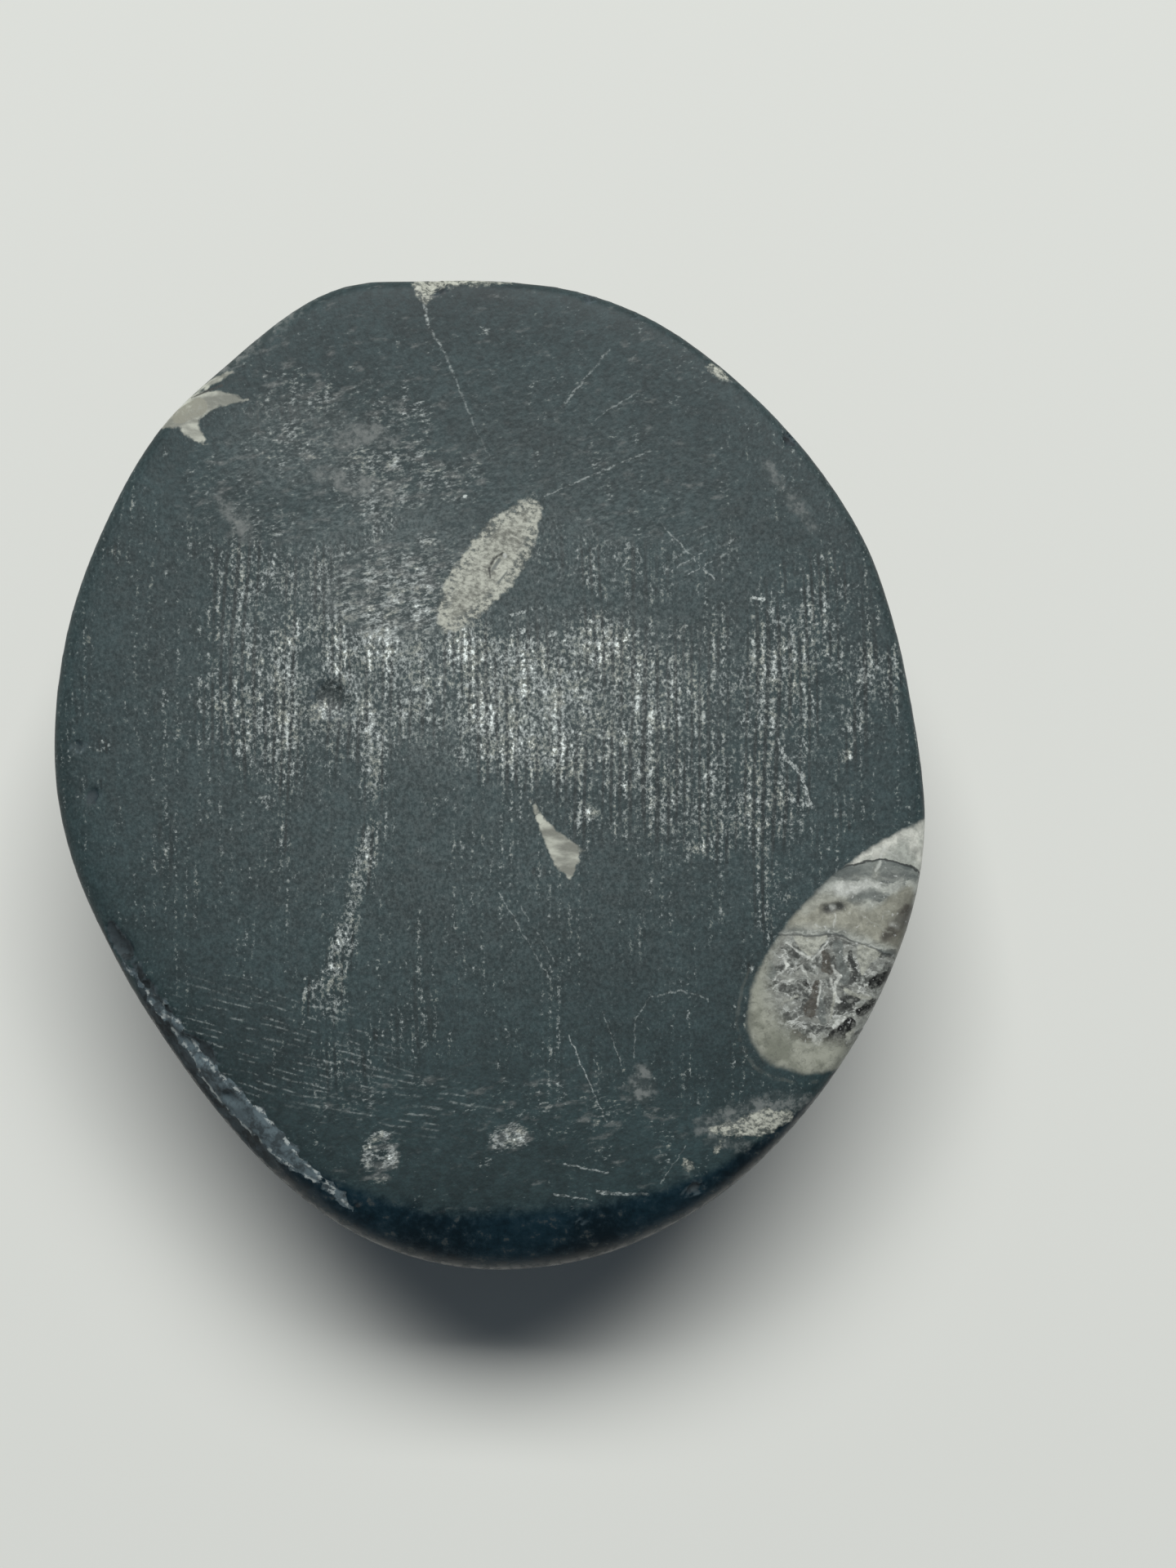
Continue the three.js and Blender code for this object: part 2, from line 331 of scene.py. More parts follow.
# The large shell that the rim cuts off: middle, half length and half width of its oval section, its
# turn in degrees, and how far it goes down into the stone.
SHELL_CENTRE = (37.3, -14.4)
SHELL_HALF = (16.5, 8.4)
SHELL_TURN = 37.8
SHELL_DEPTH = 14.0

# The two walls between its chambers on the sawn face. The first bows down on both sides of its top, and
# the second falls to the right of its bend: the place of that top or bend, and how fast it drops. Both
# lean as they go down into the stone.
FIRST_WALL = ((35.2, -7.3), 0.06)
SECOND_WALL = ((31.3, -14.0), 0.35)
WALL_LEAN = 0.35

# The tones of its calcite, from the whitest to the blackest.
CALCITE_TONES = {
    "white": (0.56, 0.58, 0.54),
    "pale": (0.37, 0.38, 0.33),
    "cream": (0.28, 0.28, 0.23),
    "grey": (0.15, 0.165, 0.155),
    "umber": (0.085, 0.08, 0.068),
    "dark": (0.04, 0.043, 0.04),
    "black": (0.012, 0.013, 0.012),
}

# The darkest and the palest colour of each kind of its calcite.
SHELL_CALCITE = {
    "clear": ((0.38, 0.40, 0.36), (0.60, 0.61, 0.55)),
    "grey": ((0.15, 0.165, 0.155), (0.42, 0.44, 0.40)),
    "cream": ((0.22, 0.22, 0.18), (0.36, 0.36, 0.30)),
    "crushed": ((0.07, 0.075, 0.07), (0.27, 0.28, 0.255)),
    "outer wall": ((0.20, 0.21, 0.17), (0.36, 0.37, 0.31)),
}

# The colours of the smaller things in it.
SHELL_TINTS = {
    "sparkle": (0.36, 0.38, 0.35),
    "thread": (0.52, 0.54, 0.51),
    "hollow": (0.13, 0.135, 0.115),
    "shade": (0.11, 0.13, 0.125),
    "line": (0.035, 0.04, 0.04),
    "glint": (0.6, 0.62, 0.6),
    "brown": (0.065, 0.06, 0.05),
    "edge": (0.10, 0.11, 0.105),
}

# The single crystals, shards and cracks of its crushed end, in the order that they lie on one another:
# from, to, width at each end, and tone.
SHELL_SHARDS = [
    ((28.9, -14.3), (28.7, -16.0), 3.0, 0.3, "pale"),
    ((34.2, -15.4), (33.6, -17.4), 2.3, 0.4, "pale"),
    ((30.2, -15.6), (30.5, -17.1), 0.7, 0.9, "umber"),
    ((31.4, -15.0), (32.0, -18.0), 0.8, 1.0, "grey"),
    ((32.5, -15.4), (32.9, -18.0), 0.3, 0.5, "dark"),
    ((25.3, -16.7), (25.6, -17.5), 0.8, 0.9, "grey"),
    ((29.5, -18.4), (28.9, -21.0), 0.5, 1.1, "umber"),
    ((29.9, -19.2), (30.0, -21.6), 0.4, 0.7, "grey"),
    ((34.8, -18.3), (36.2, -17.6), 1.1, 0.9, "black"),
    ((31.8, -20.2), (33.4, -19.4), 1.1, 0.8, "dark"),
    ((33.4, -20.9), (34.6, -20.3), 0.9, 1.1, "black"),
    ((30.8, -23.8), (32.5, -22.1), 1.6, 1.2, "black"),
    ((30.1, -25.0), (31.9, -23.9), 1.2, 1.0, "dark"),
    ((28.5, -18.4), (28.8, -18.6), 0.45, 0.3, "black"),
    ((27.4, -23.0), (28.7, -23.4), 0.9, 0.6, "umber"),
    ((26.9, -14.6), (28.6, -16.2), 0.14, 0.24, "white"),
    ((30.5, -14.7), (29.0, -16.3), 0.12, 0.22, "white"),
    ((26.4, -15.8), (26.9, -16.8), 0.16, 0.24, "white"),
    ((26.9, -16.8), (25.9, -18.0), 0.24, 0.14, "white"),
    ((27.2, -17.1), (28.1, -16.8), 0.14, 0.20, "white"),
    ((28.1, -16.8), (28.7, -17.8), 0.20, 0.12, "white"),
    ((30.9, -16.9), (31.5, -17.6), 0.20, 0.40, "white"),
    ((31.5, -17.6), (31.1, -19.4), 0.36, 0.16, "white"),
    ((30.0, -18.4), (29.6, -20.3), 0.14, 0.24, "white"),
    ((30.7, -18.0), (31.3, -20.0), 0.20, 0.34, "white"),
    ((31.1, -19.4), (30.8, -21.4), 0.16, 0.24, "pale"),
    ((32.1, -19.0), (34.3, -19.7), 0.34, 0.50, "pale"),
    ((33.2, -18.9), (34.2, -19.5), 0.12, 0.30, "white"),
    ((24.8, -19.0), (27.3, -18.0), 0.10, 0.16, "white"),
    ((26.4, -20.3), (27.8, -19.4), 0.14, 0.20, "pale"),
    ((31.2, -22.3), (32.1, -21.5), 0.55, 0.35, "white"),
    ((29.0, -22.9), (29.6, -23.9), 0.40, 0.50, "white"),
    ((32.5, -23.1), (33.1, -22.6), 0.60, 0.35, "pale"),
    ((34.2, -17.2), (34.7, -17.5), 0.30, 0.20, "white"),
]

# The soft clouds in its middle chamber, in the same form.
CLOUD_STROKES = [
    ((32.4, -8.4), (37.2, -8.5), 1.1, 1.0, "grey"),
    ((28.5, -11.6), (30.0, -10.7), 1.3, 0.9, "pale"),
    ((31.4, -9.9), (34.9, -9.6), 1.0, 0.6, "white"),
    ((34.7, -7.5), (34.9, -8.6), 0.3, 0.5, "pale"),
    ((32.7, -10.9), (34.8, -10.3), 0.5, 0.7, "grey"),
    ((34.8, -13.0), (37.6, -10.6), 2.2, 1.8, "cream"),
    ((36.1, -14.0), (38.0, -11.8), 1.5, 1.3, "umber"),
    ((30.3, -11.8), (31.6, -11.4), 0.9, 0.9, "dark"),
    ((30.8, -11.6), (31.0, -11.6), 0.18, 0.18, "white"),
    ((36.4, -13.1), (36.9, -13.3), 0.3, 0.2, "white"),
]

# White threads that cross from one chamber into the next, in the same form.
THREAD_STROKES = [
    ((35.7, -5.9), (34.9, -8.1), 0.12, 0.34, "white"),
    ((35.4, -6.2), (36.7, -7.1), 0.16, 0.10, "white"),
    ((31.2, -12.2), (31.2, -13.3), 0.12, 0.12, "white"),
    ((33.6, -12.2), (36.2, -14.0), 0.10, 0.14, "pale"),
]

# The colours of the straight shell under the dome. Its calcite has a darkest and a palest one.
STRAIGHT_SHELL_CALCITE = ((0.10, 0.105, 0.10), (0.55, 0.53, 0.46))
STRAIGHT_SHELL_TINTS = {
    "mud": (0.03, 0.035, 0.036),
    "chamber wall": (0.02, 0.022, 0.022),
    "outer wall": (0.30, 0.27, 0.22),
    "tube": (0.06, 0.05, 0.045),
}


class FossilSizes(PropertyGroup):
    """The lengths that a user may change."""

    mesh_grain: FloatProperty(
        name="Mesh grain", description="Size of one face of the stone's mesh",
        default=0.445 * MM, min=0.3 * MM, unit="LENGTH")
    saw_pitch: FloatProperty(
        name="Saw pitch", description="Distance from one saw mark to the next",
        default=0.86 * MM, unit="LENGTH")
    fleck: FloatProperty(
        name="Fleck", description="Size of the pale grains on the sawn face",
        default=0.27 * MM, unit="LENGTH")
    break_relief: FloatProperty(
        name="Break relief", description="Roughness of the broken rock",
        default=0.30 * MM, unit="LENGTH")
    seed: IntProperty(name="Seed", description="Which chips and lumps are drawn", default=7)


class FossilColours(PropertyGroup):
    """The colours that a user may change."""

    slate: FloatVectorProperty(
        name="Sawn stone", description="Sawn and matt limestone", subtype="COLOR",
        default=(0.021, 0.0405, 0.0435))
    dust: FloatVectorProperty(
        name="Pale grains", description="Crushed grains in the saw marks", subtype="COLOR",
        default=(0.60, 0.65, 0.63))
    polish: FloatVectorProperty(
        name="Polished stone", description="Ground and polished limestone", subtype="COLOR",
        default=(0.0032, 0.0115, 0.0170))
    broken: FloatVectorProperty(
        name="Broken stone", description="Fresh break in the limestone", subtype="COLOR",
        default=(0.095, 0.13, 0.145))
    calcite: FloatVectorProperty(
        name="Calcite", description="Milky calcite of the fossils", subtype="COLOR",
        default=(0.36, 0.37, 0.32))
    stain: FloatVectorProperty(
        name="Stain", description="Grey stain where calcite only just shows", subtype="COLOR",
        default=(0.076, 0.094, 0.093))


class FossilStage(PropertyGroup):
    """The light, the floor and the camera."""

    eye: FloatVectorProperty(
        name="Eye", description="Place of the camera, which looks straight down", subtype="TRANSLATION",
        default=(8.97 * MM, -0.46 * MM, 223.6 * MM))
    key_place: FloatVectorProperty(
        name="Key place", description="Place of the large soft light, behind the stone",
        subtype="TRANSLATION", default=(0.06, 1.41, 1.94))
    key_width: FloatProperty(
        name="Key width", description="Width of the large soft light", default=2.0, unit="LENGTH")
    key_depth: FloatProperty(
        name="Key depth", description="Depth of the large soft light", default=0.75, unit="LENGTH")
    key_power: FloatProperty(
        name="Key power", description="Power of the large soft light", default=64.0, unit="POWER")
    sky: FloatProperty(
        name="Sky", description="Strength of the light from all round", default=0.075)
    floor_radius: FloatProperty(
        name="Floor radius", description="Radius of the round floor", default=0.9, unit="LENGTH")
    floor: FloatVectorProperty(
        name="Floor", description="Colour of the floor", subtype="COLOR",
        default=(0.79, 0.80, 0.76))


ORIGIN = (0.0, 0.0, 0.0)
BLACK = (0.0, 0.0, 0.0, 1.0)

# The sky's light on the stone, and how pale and how strong it looks where the camera sees it.
SKY_LIGHT = (0.80, 0.95, 1.12)
SKY_SEEN = (0.96, 0.98, 0.97)
SKY_SEEN_STRENGTH = 0.66


# ---------------------------------------------------------------- shader wiring


class Wiring:
    """Adds nodes to one tree and wires them up. Most calls return the new node's output socket."""

    def __init__(self, tree):
        self.tree = tree

    def add(self, kind, **settings):
        """A new node with the given settings. Unlike the others, this call returns the node itself."""
        made = self.tree.nodes.new(kind)
        for name, value in settings.items():
            setattr(made, name, value)
        return made

    def plug(self, socket, value):
        """Wires another socket into this one, or sets a plain value on it."""
        if isinstance(value, bpy.types.NodeSocket):
            self.tree.links.new(value, socket)
        elif value is not None:
            socket.default_value = value

    def maths(self, operation, *values, clamp=False):
        made = self.add("ShaderNodeMath", operation=operation, use_clamp=clamp)
        for socket, value in zip(made.inputs, values):
            self.plug(socket, value)
        return made.outputs[0]

    def times(self, *values):
        """The product of several numbers."""
        product = values[0]
        for value in values[1:]:
            product = self.maths("MULTIPLY", product, value)
        return product

    def most(self, *values):
        """The largest of several numbers."""
        top = values[0]
        for value in values[1:]:
            top = self.maths("MAXIMUM", top, value)
        return top

    def plus(self, first, second):
        return self.maths("ADD", first, second)

    def minus(self, first, second):
        return self.maths("SUBTRACT", first, second)

    def apart(self, first, second):
        """How far apart two numbers are."""
        return self.maths("ABSOLUTE", self.minus(first, second))

    def shaken(self, value, shake, amount):
        """A number moved up and down by a noise that lies round 0.5."""
        return self.maths("MULTIPLY_ADD", self.minus(shake, 0.5), amount, value)

    def vector(self, operation, *values):
        made = self.add("ShaderNodeVectorMath", operation=operation)
        for socket, value in zip(made.inputs, values):
            self.plug(socket, value)
        single = operation in ("LENGTH", "DOT_PRODUCT", "DISTANCE")
        return made.outputs["Value" if single else "Vector"]

    def scaled(self, vector, factor):
        made = self.add("ShaderNodeVectorMath", operation="SCALE")
        self.plug(made.inputs["Vector"], vector)
        self.plug(made.inputs["Scale"], factor)
        return made.outputs["Vector"]

    def stretched(self, vector, factors):
        """A point with each of its coordinates times its own factor."""
        return self.vector("MULTIPLY", vector, factors)

    def turned(self, vector, angle):
        made = self.add("ShaderNodeVectorRotate", rotation_type="Z_AXIS")
        self.plug(made.inputs["Vector"], vector)
        self.plug(made.inputs["Angle"], angle)
        return made.outputs["Vector"]

    def split(self, vector):
        made = self.add("ShaderNodeSeparateXYZ")
        self.plug(made.inputs[0], vector)
        return made.outputs

    def joined(self, x, y, z):
        made = self.add("ShaderNodeCombineXYZ")
        for socket, value in zip(made.inputs, (x, y, z)):
            self.plug(socket, value)
        return made.outputs[0]

    def fade(self, value, start, end, low=0.0, high=1.0):
        """Runs smoothly from low at start to high at end, and stays there beyond them."""
        made = self.add("ShaderNodeMapRange", interpolation_type="SMOOTHSTEP")
        for name, given in (
            ("Value", value), ("From Min", start), ("From Max", end), ("To Min", low), ("To Max", high),
        ):
            self.plug(made.inputs[name], given)
        return made.outputs["Result"]

    def fall(self, value, start, end):
        """Runs smoothly from 1 at start down to 0 at end."""
        return self.fade(value, start, end, 1.0, 0.0)

    def grain(self, point, size, detail=2.0, roughness=0.5, distortion=0.0, colour=False):
        """Cloudy noise whose lumps are about size apart."""
        made = self.add("ShaderNodeTexNoise")
        self.plug(made.inputs["Vector"], point)
        self.plug(made.inputs["Scale"], 1.0 / size)
        self.plug(made.inputs["Detail"], detail)
        self.plug(made.inputs["Roughness"], roughness)
        self.plug(made.inputs["Distortion"], distortion)
        return made.outputs["Color" if colour else "Fac"]

    def cells(self, point, density):
        """Cells about 1 / density apart: Distance from their middles, and a random Color for each."""
        made = self.add("ShaderNodeTexVoronoi", feature="F1")
        self.plug(made.inputs["Vector"], point)
        made.inputs["Scale"].default_value = density
        return made.outputs

    def mix(self, share, first, second):
        """One number or colour passing into another as share goes from 0 to 1."""
        wide = any(
            isinstance(value, (tuple, list)) or getattr(value, "type", "") == "RGBA"
            for value in (first, second)
        )
        made = self.add("ShaderNodeMix", data_type="RGBA" if wide else "FLOAT")
        names = ("Factor", "A", "B")
        sockets = [s for s in made.inputs if s.enabled and s.name in names]
        for socket, value in zip(sockets, (share, first, second)):
            if wide and isinstance(value, (tuple, list)) and len(value) == 3:
                value = (*value, 1.0)
            self.plug(socket, value)
        return next(s for s in made.outputs if s.enabled)

    def place(self, group, **values):
        """Places a node group: an underscore in a name stands for the blank in its socket's name."""
        made = self.add("ShaderNodeGroup", node_tree=group)
        for name, value in values.items():
            self.plug(made.inputs[name.replace("_", " ")], value)
        return made.outputs


def new_group(name, inputs, outputs):
    """An empty shader node group with named sockets, and its wiring, inputs and outputs.

    An input whose default has 3 numbers is a vector, and one whose default has 4 is a colour.
    """
    group = bpy.data.node_groups.new(name, "ShaderNodeTree")
    for label, default in inputs.items():
        kind = {1: "Float", 3: "Vector", 4: "Color"}[np.size(default)]
        socket = group.interface.new_socket(label, in_out="INPUT", socket_type=f"NodeSocket{kind}")
        socket.default_value = default
    for label, kind in outputs.items():
        group.interface.new_socket(label, in_out="OUTPUT", socket_type=f"NodeSocket{kind}")
    wiring = Wiring(group)
    return group, wiring, wiring.add("NodeGroupInput").outputs, wiring.add("NodeGroupOutput").inputs


def oval_group():
    """An oval in the rock: Level is the point seen from its middle along its axes, and Reach is 1 on
    its edge."""
    group, w, given, out = new_group(
        "Oval",
        {"Point": ORIGIN, "Centre": ORIGIN, "Half Size": (1.0, 1.0, 1.0), "Turn": 0.0},
        {"Level": "Vector", "Reach": "Float"},
    )
    away = w.vector("SUBTRACT", given["Point"], given["Centre"])
    level = w.turned(away, w.times(given["Turn"], -1.0))
    w.plug(out["Level"], level)
    w.plug(out["Reach"], w.vector("LENGTH", w.vector("DIVIDE", level, given["Half Size"])))
    return group


def stroke_group():
    """A straight stroke between two points, as a scratch, a vein or a sliver of crystal."""
    group, w, given, out = new_group(
        "Stroke",
        {"Point": ORIGIN, "Start": ORIGIN, "End": (1.0, 0.0, 0.0),
         "Start Width": 0.2, "End Width": 0.2, "Softness": 0.05},
        {"Mask": "Float"},
    )
    from_start = w.vector("SUBTRACT", given["Point"], given["Start"])
    whole = w.vector("SUBTRACT", given["End"], given["Start"])
    along = w.maths(
        "DIVIDE", w.vector("DOT_PRODUCT", from_start, whole), w.vector("DOT_PRODUCT", whole, whole))
    along = w.maths("MAXIMUM", w.maths("MINIMUM", along, 1.0), 0.0)
    off = w.vector("LENGTH", w.vector("SUBTRACT", from_start, w.scaled(whole, along)))
    width = w.mix(along, given["Start Width"], given["End Width"])
    half = w.times(width, 0.5)
    softness = given["Softness"]
    w.plug(out["Mask"], w.fall(off, w.minus(half, softness), w.plus(half, softness)))
    return group


def drawn(w, stroke, point, line, softness=0.05):
    """The mask of one line of a table: where it starts and ends, and its width at each end."""
    start, end, first_width, last_width = line
    return w.place(
        stroke, Point=point, Start=(*start, 0.0), End=(*end, 0.0), Start_Width=first_width,
        End_Width=last_width, Softness=softness)["Mask"]


def lay_strokes(w, stroke, point, table, softness, strength, colour):
    """Draws a table of strokes over a colour, one on another, each in its own tone of calcite."""
    for *line, tone in table:
        mask = w.times(drawn(w, stroke, point, line, softness), strength)
        colour = w.mix(mask, colour, CALCITE_TONES[tone])
    return colour


def ragged_group():
    """Turns a depth inside a mark into a mask with a ragged edge. Teeth is a noise between 0 and 1."""
    group, w, given, out = new_group(
        "Ragged Edge", {"Depth": 0.0, "Teeth": 0.5, "Raggedness": 0.5, "Softness": 0.08}, {"Mask": "Float"})
    shift = w.times(w.minus(given["Teeth"], 0.5), given["Raggedness"])
    depth = w.maths("MULTIPLY_ADD", shift, 4.0, given["Depth"])
    w.plug(out["Mask"], w.fade(depth, w.times(given["Softness"], -1.0), given["Softness"]))
    return group


def sawn_grain_group():
    """Crushed pale grains on the sawn face, in rows along Y or drawn out into slanting dashes.

    Dust is 1 where a grain is whitest, Groove is 1 in the bottom of a saw mark, Fine is the noise of the
    grains alone, and Smudge is 1 in soft level smears among the dashes.
    """
    group, w, given, out = new_group(
        "Sawn Grain",
        {"Point": ORIGIN, "Pitch": 0.86, "Grain": 0.27, "Share": 0.5, "Dashes": 0.0},
        {"Dust": "Float", "Groove": "Float", "Fine": "Float", "Smudge": "Float"},
    )
    point, share = given["Point"], given["Share"]

    # The saw marks: a wave along X that wanders a little and is strong in some stretches only.
    wander = w.grain(w.vector("DIVIDE", point, (9.0, 40.0, 9.0)), 1.0, detail=1.0)
    x = w.maths("DIVIDE", w.split(point)[0], given["Pitch"])
    wave = w.maths("COSINE", w.times(w.maths("MULTIPLY_ADD", wander, 5.0, x), math.tau))
    strong = w.grain(w.vector("DIVIDE", point, (1.5, 9.0, 5.0)), 1.0, detail=1.5)
    upright_share = w.maths("SUBTRACT", 1.0, given["Dashes"], clamp=True)
    strength = w.times(w.fade(strong, 0.36, 0.62, 0.2, 1.5), upright_share)
    rows = w.times(wave, strength)

    # The crushed grains: round lumps in the rows, and drawn out elsewhere.
    shrunk = w.scaled(point, w.maths("DIVIDE", 1.0, given["Grain"]))
    lumps = w.grain(w.stretched(shrunk, (1.0, 0.8, 1.0)), 1.0, detail=2.5, roughness=0.66)
    slanted = w.stretched(w.turned(shrunk, math.radians(-13)), (0.55, 1.0, 1.0))
    dashes = w.grain(slanted, 1.0, detail=2.5, roughness=0.66)
    lumps = w.mix(w.fade(given["Dashes"], 0.3, 0.7), lumps, dashes)
    curls = w.fall(w.apart(lumps, 0.56), 0.0, 0.03)
    patches = w.grain(point, 2.4, detail=3.0, roughness=0.65)

    # A grain shows where this field rises over a level that sinks as the share of dust grows.
    field = w.maths("MULTIPLY_ADD", rows, 0.055, lumps)
    field = w.shaken(field, patches, 0.34)
    field = w.shaken(field, strong, 0.24)
    level = w.maths("MULTIPLY_ADD", share, -0.27, 0.665)
    width = w.maths("MULTIPLY_ADD", share, 0.18, 0.15)
    above = w.maths("DIVIDE", w.minus(field, level), width, clamp=True)
    whiteness = w.maths("MULTIPLY_ADD", share, 0.55, 0.45, clamp=True)
    grains = w.maths("MULTIPLY_ADD", curls, w.times(above, 0.25), w.maths("POWER", above, 1.7))
    w.plug(out["Dust"], w.maths("MULTIPLY", grains, whiteness, clamp=True))
    w.plug(out["Groove"], w.fall(rows, -1.1, 0.0))
    w.plug(out["Fine"], lumps)

    lying = w.stretched(w.turned(point, math.radians(-8)), (0.42, 1.0, 1.0))
    smears = w.grain(lying, 0.8, detail=3.0)
    smeared = w.fade(w.maths("MULTIPLY_ADD", share, 0.2, smears), 0.60, 0.80)
    w.plug(out["Smudge"], w.times(smeared, w.fade(given["Dashes"], 0.2, 0.8)))
    return group


def scratches_group(stroke):
    """The single scratches, slivers and dots of the sawn face, and the vein from the top notch."""
    group, w, given, out = new_group(
        "Scratches", {"Point": ORIGIN}, {"Scratch": "Float", "Vein": "Float"})
    scratch = 0.0
    for *line, white in SCRATCHES:
        mask = drawn(w, stroke, given["Point"], line)
        scratch = w.most(scratch, w.times(mask, white))
    vein = 0.0
    for step, (start, end) in enumerate(zip(VEIN, VEIN[1:])):
        width = VEIN_WIDTH - VEIN_TAPER * step
        mask = drawn(w, stroke, given["Point"], (start, end, width, width - VEIN_TAPER), softness=0.10)
        vein = w.most(vein, w.times(mask, 1.0 - VEIN_FADING * step))
    w.plug(out["Scratch"], scratch)
    w.plug(out["Vein"], vein)
    return group


def scratch_fan_group(oval):
    """Fine parallel scratches inside an oval, each with its own length and strength."""
    group, w, given, out = new_group(
        "Scratch Fan",
        {"Point": ORIGIN, "Centre": ORIGIN, "Half Size": (5.0, 2.0, 9.0), "Turn": 0.0, "Spacing": 0.8},
        {"Mask": "Float"},
    )
    inside_oval = w.place(
        oval, Point=given["Point"], Centre=given["Centre"], Half_Size=given["Half Size"],
        Turn=given["Turn"])
    level, reach = inside_oval["Level"], inside_oval["Reach"]
    x, y, _ = w.split(level)
    waver = w.grain(w.stretched(level, (0.12, 0.35, 0.0)), 1.0, detail=2.0)
    row = w.maths("MULTIPLY_ADD", waver, 2.2, w.maths("DIVIDE", y, given["Spacing"]))
    inside = w.apart(w.maths("FRACT", row), 0.5)
    number = w.maths("FLOOR", row)
    own_place = w.joined(w.times(x, 0.4), w.times(number, 7.3), 0.0)
    present = w.grain(own_place, 1.0, detail=3.0)
    line, lasting = w.fall(inside, 0.0, 0.24), w.fade(present, 0.45, 0.60)
    w.plug(out["Mask"], w.times(line, lasting, w.fall(reach, 0.55, 1.0)))
    return group


def over_walls(w, x, y, height):
    """How far a point lies above each of the large shell's two chamber walls, as its section shows."""
    (top_x, top_y), bowing = FIRST_WALL
    first = w.maths("MULTIPLY_ADD", w.maths("POWER", w.minus(x, top_x), 2.0), -bowing, top_y)
    (bend_x, bend_y), falling = SECOND_WALL
    past_bend = w.maths("MAXIMUM", w.minus(x, bend_x), 0.0)
    second = w.maths("MULTIPLY_ADD", past_bend, -falling, bend_y)
    leaning = w.maths("MULTIPLY_ADD", height, -WALL_LEAN, y)
    return w.minus(leaning, first), w.minus(leaning, second)


def clouded_calcite(w, stroke, point, over_second, cloud, streak):
    """The middle chamber: grey and cream calcite with soft clouds."""
    grey = w.mix(w.fade(streak, 0.40, 0.60), *SHELL_CALCITE["grey"])
    cream = w.mix(w.fade(cloud, 0.35, 0.65), *SHELL_CALCITE["cream"])
    creamy = w.times(w.fade(over_second, 0.0, 1.4), w.fall(over_second, 2.2, 4.6))
    strength = w.fade(cloud, 0.34, 0.54, 0.45, 0.95)
    return lay_strokes(w, stroke, point, CLOUD_STROKES, 0.35, strength, w.mix(creamy, grey, cream))


def crushed_calcite(w, stroke, point, cloud, streak, sparkle):
    """The crushed end: grey and brown crystal with white threads, over which single shards lie."""
    colour = w.mix(w.fade(streak, 0.36, 0.64), *SHELL_CALCITE["crushed"])
    colour = w.mix(w.fade(sparkle, 0.46, 0.62, 0.0, 0.5), colour, SHELL_TINTS["sparkle"])
    ridge = w.apart(streak, 0.5)
    thread = w.times(w.fade(ridge, 0.0, 0.03, 0.9, 0.0), w.fade(cloud, 0.42, 0.56, 1.0, 0.15))
    colour = w.mix(thread, colour, SHELL_TINTS["thread"])
    return lay_strokes(w, stroke, point, SHELL_SHARDS, 0.09, w.fade(sparkle, 0.34, 0.56, 0.5, 1.0), colour)


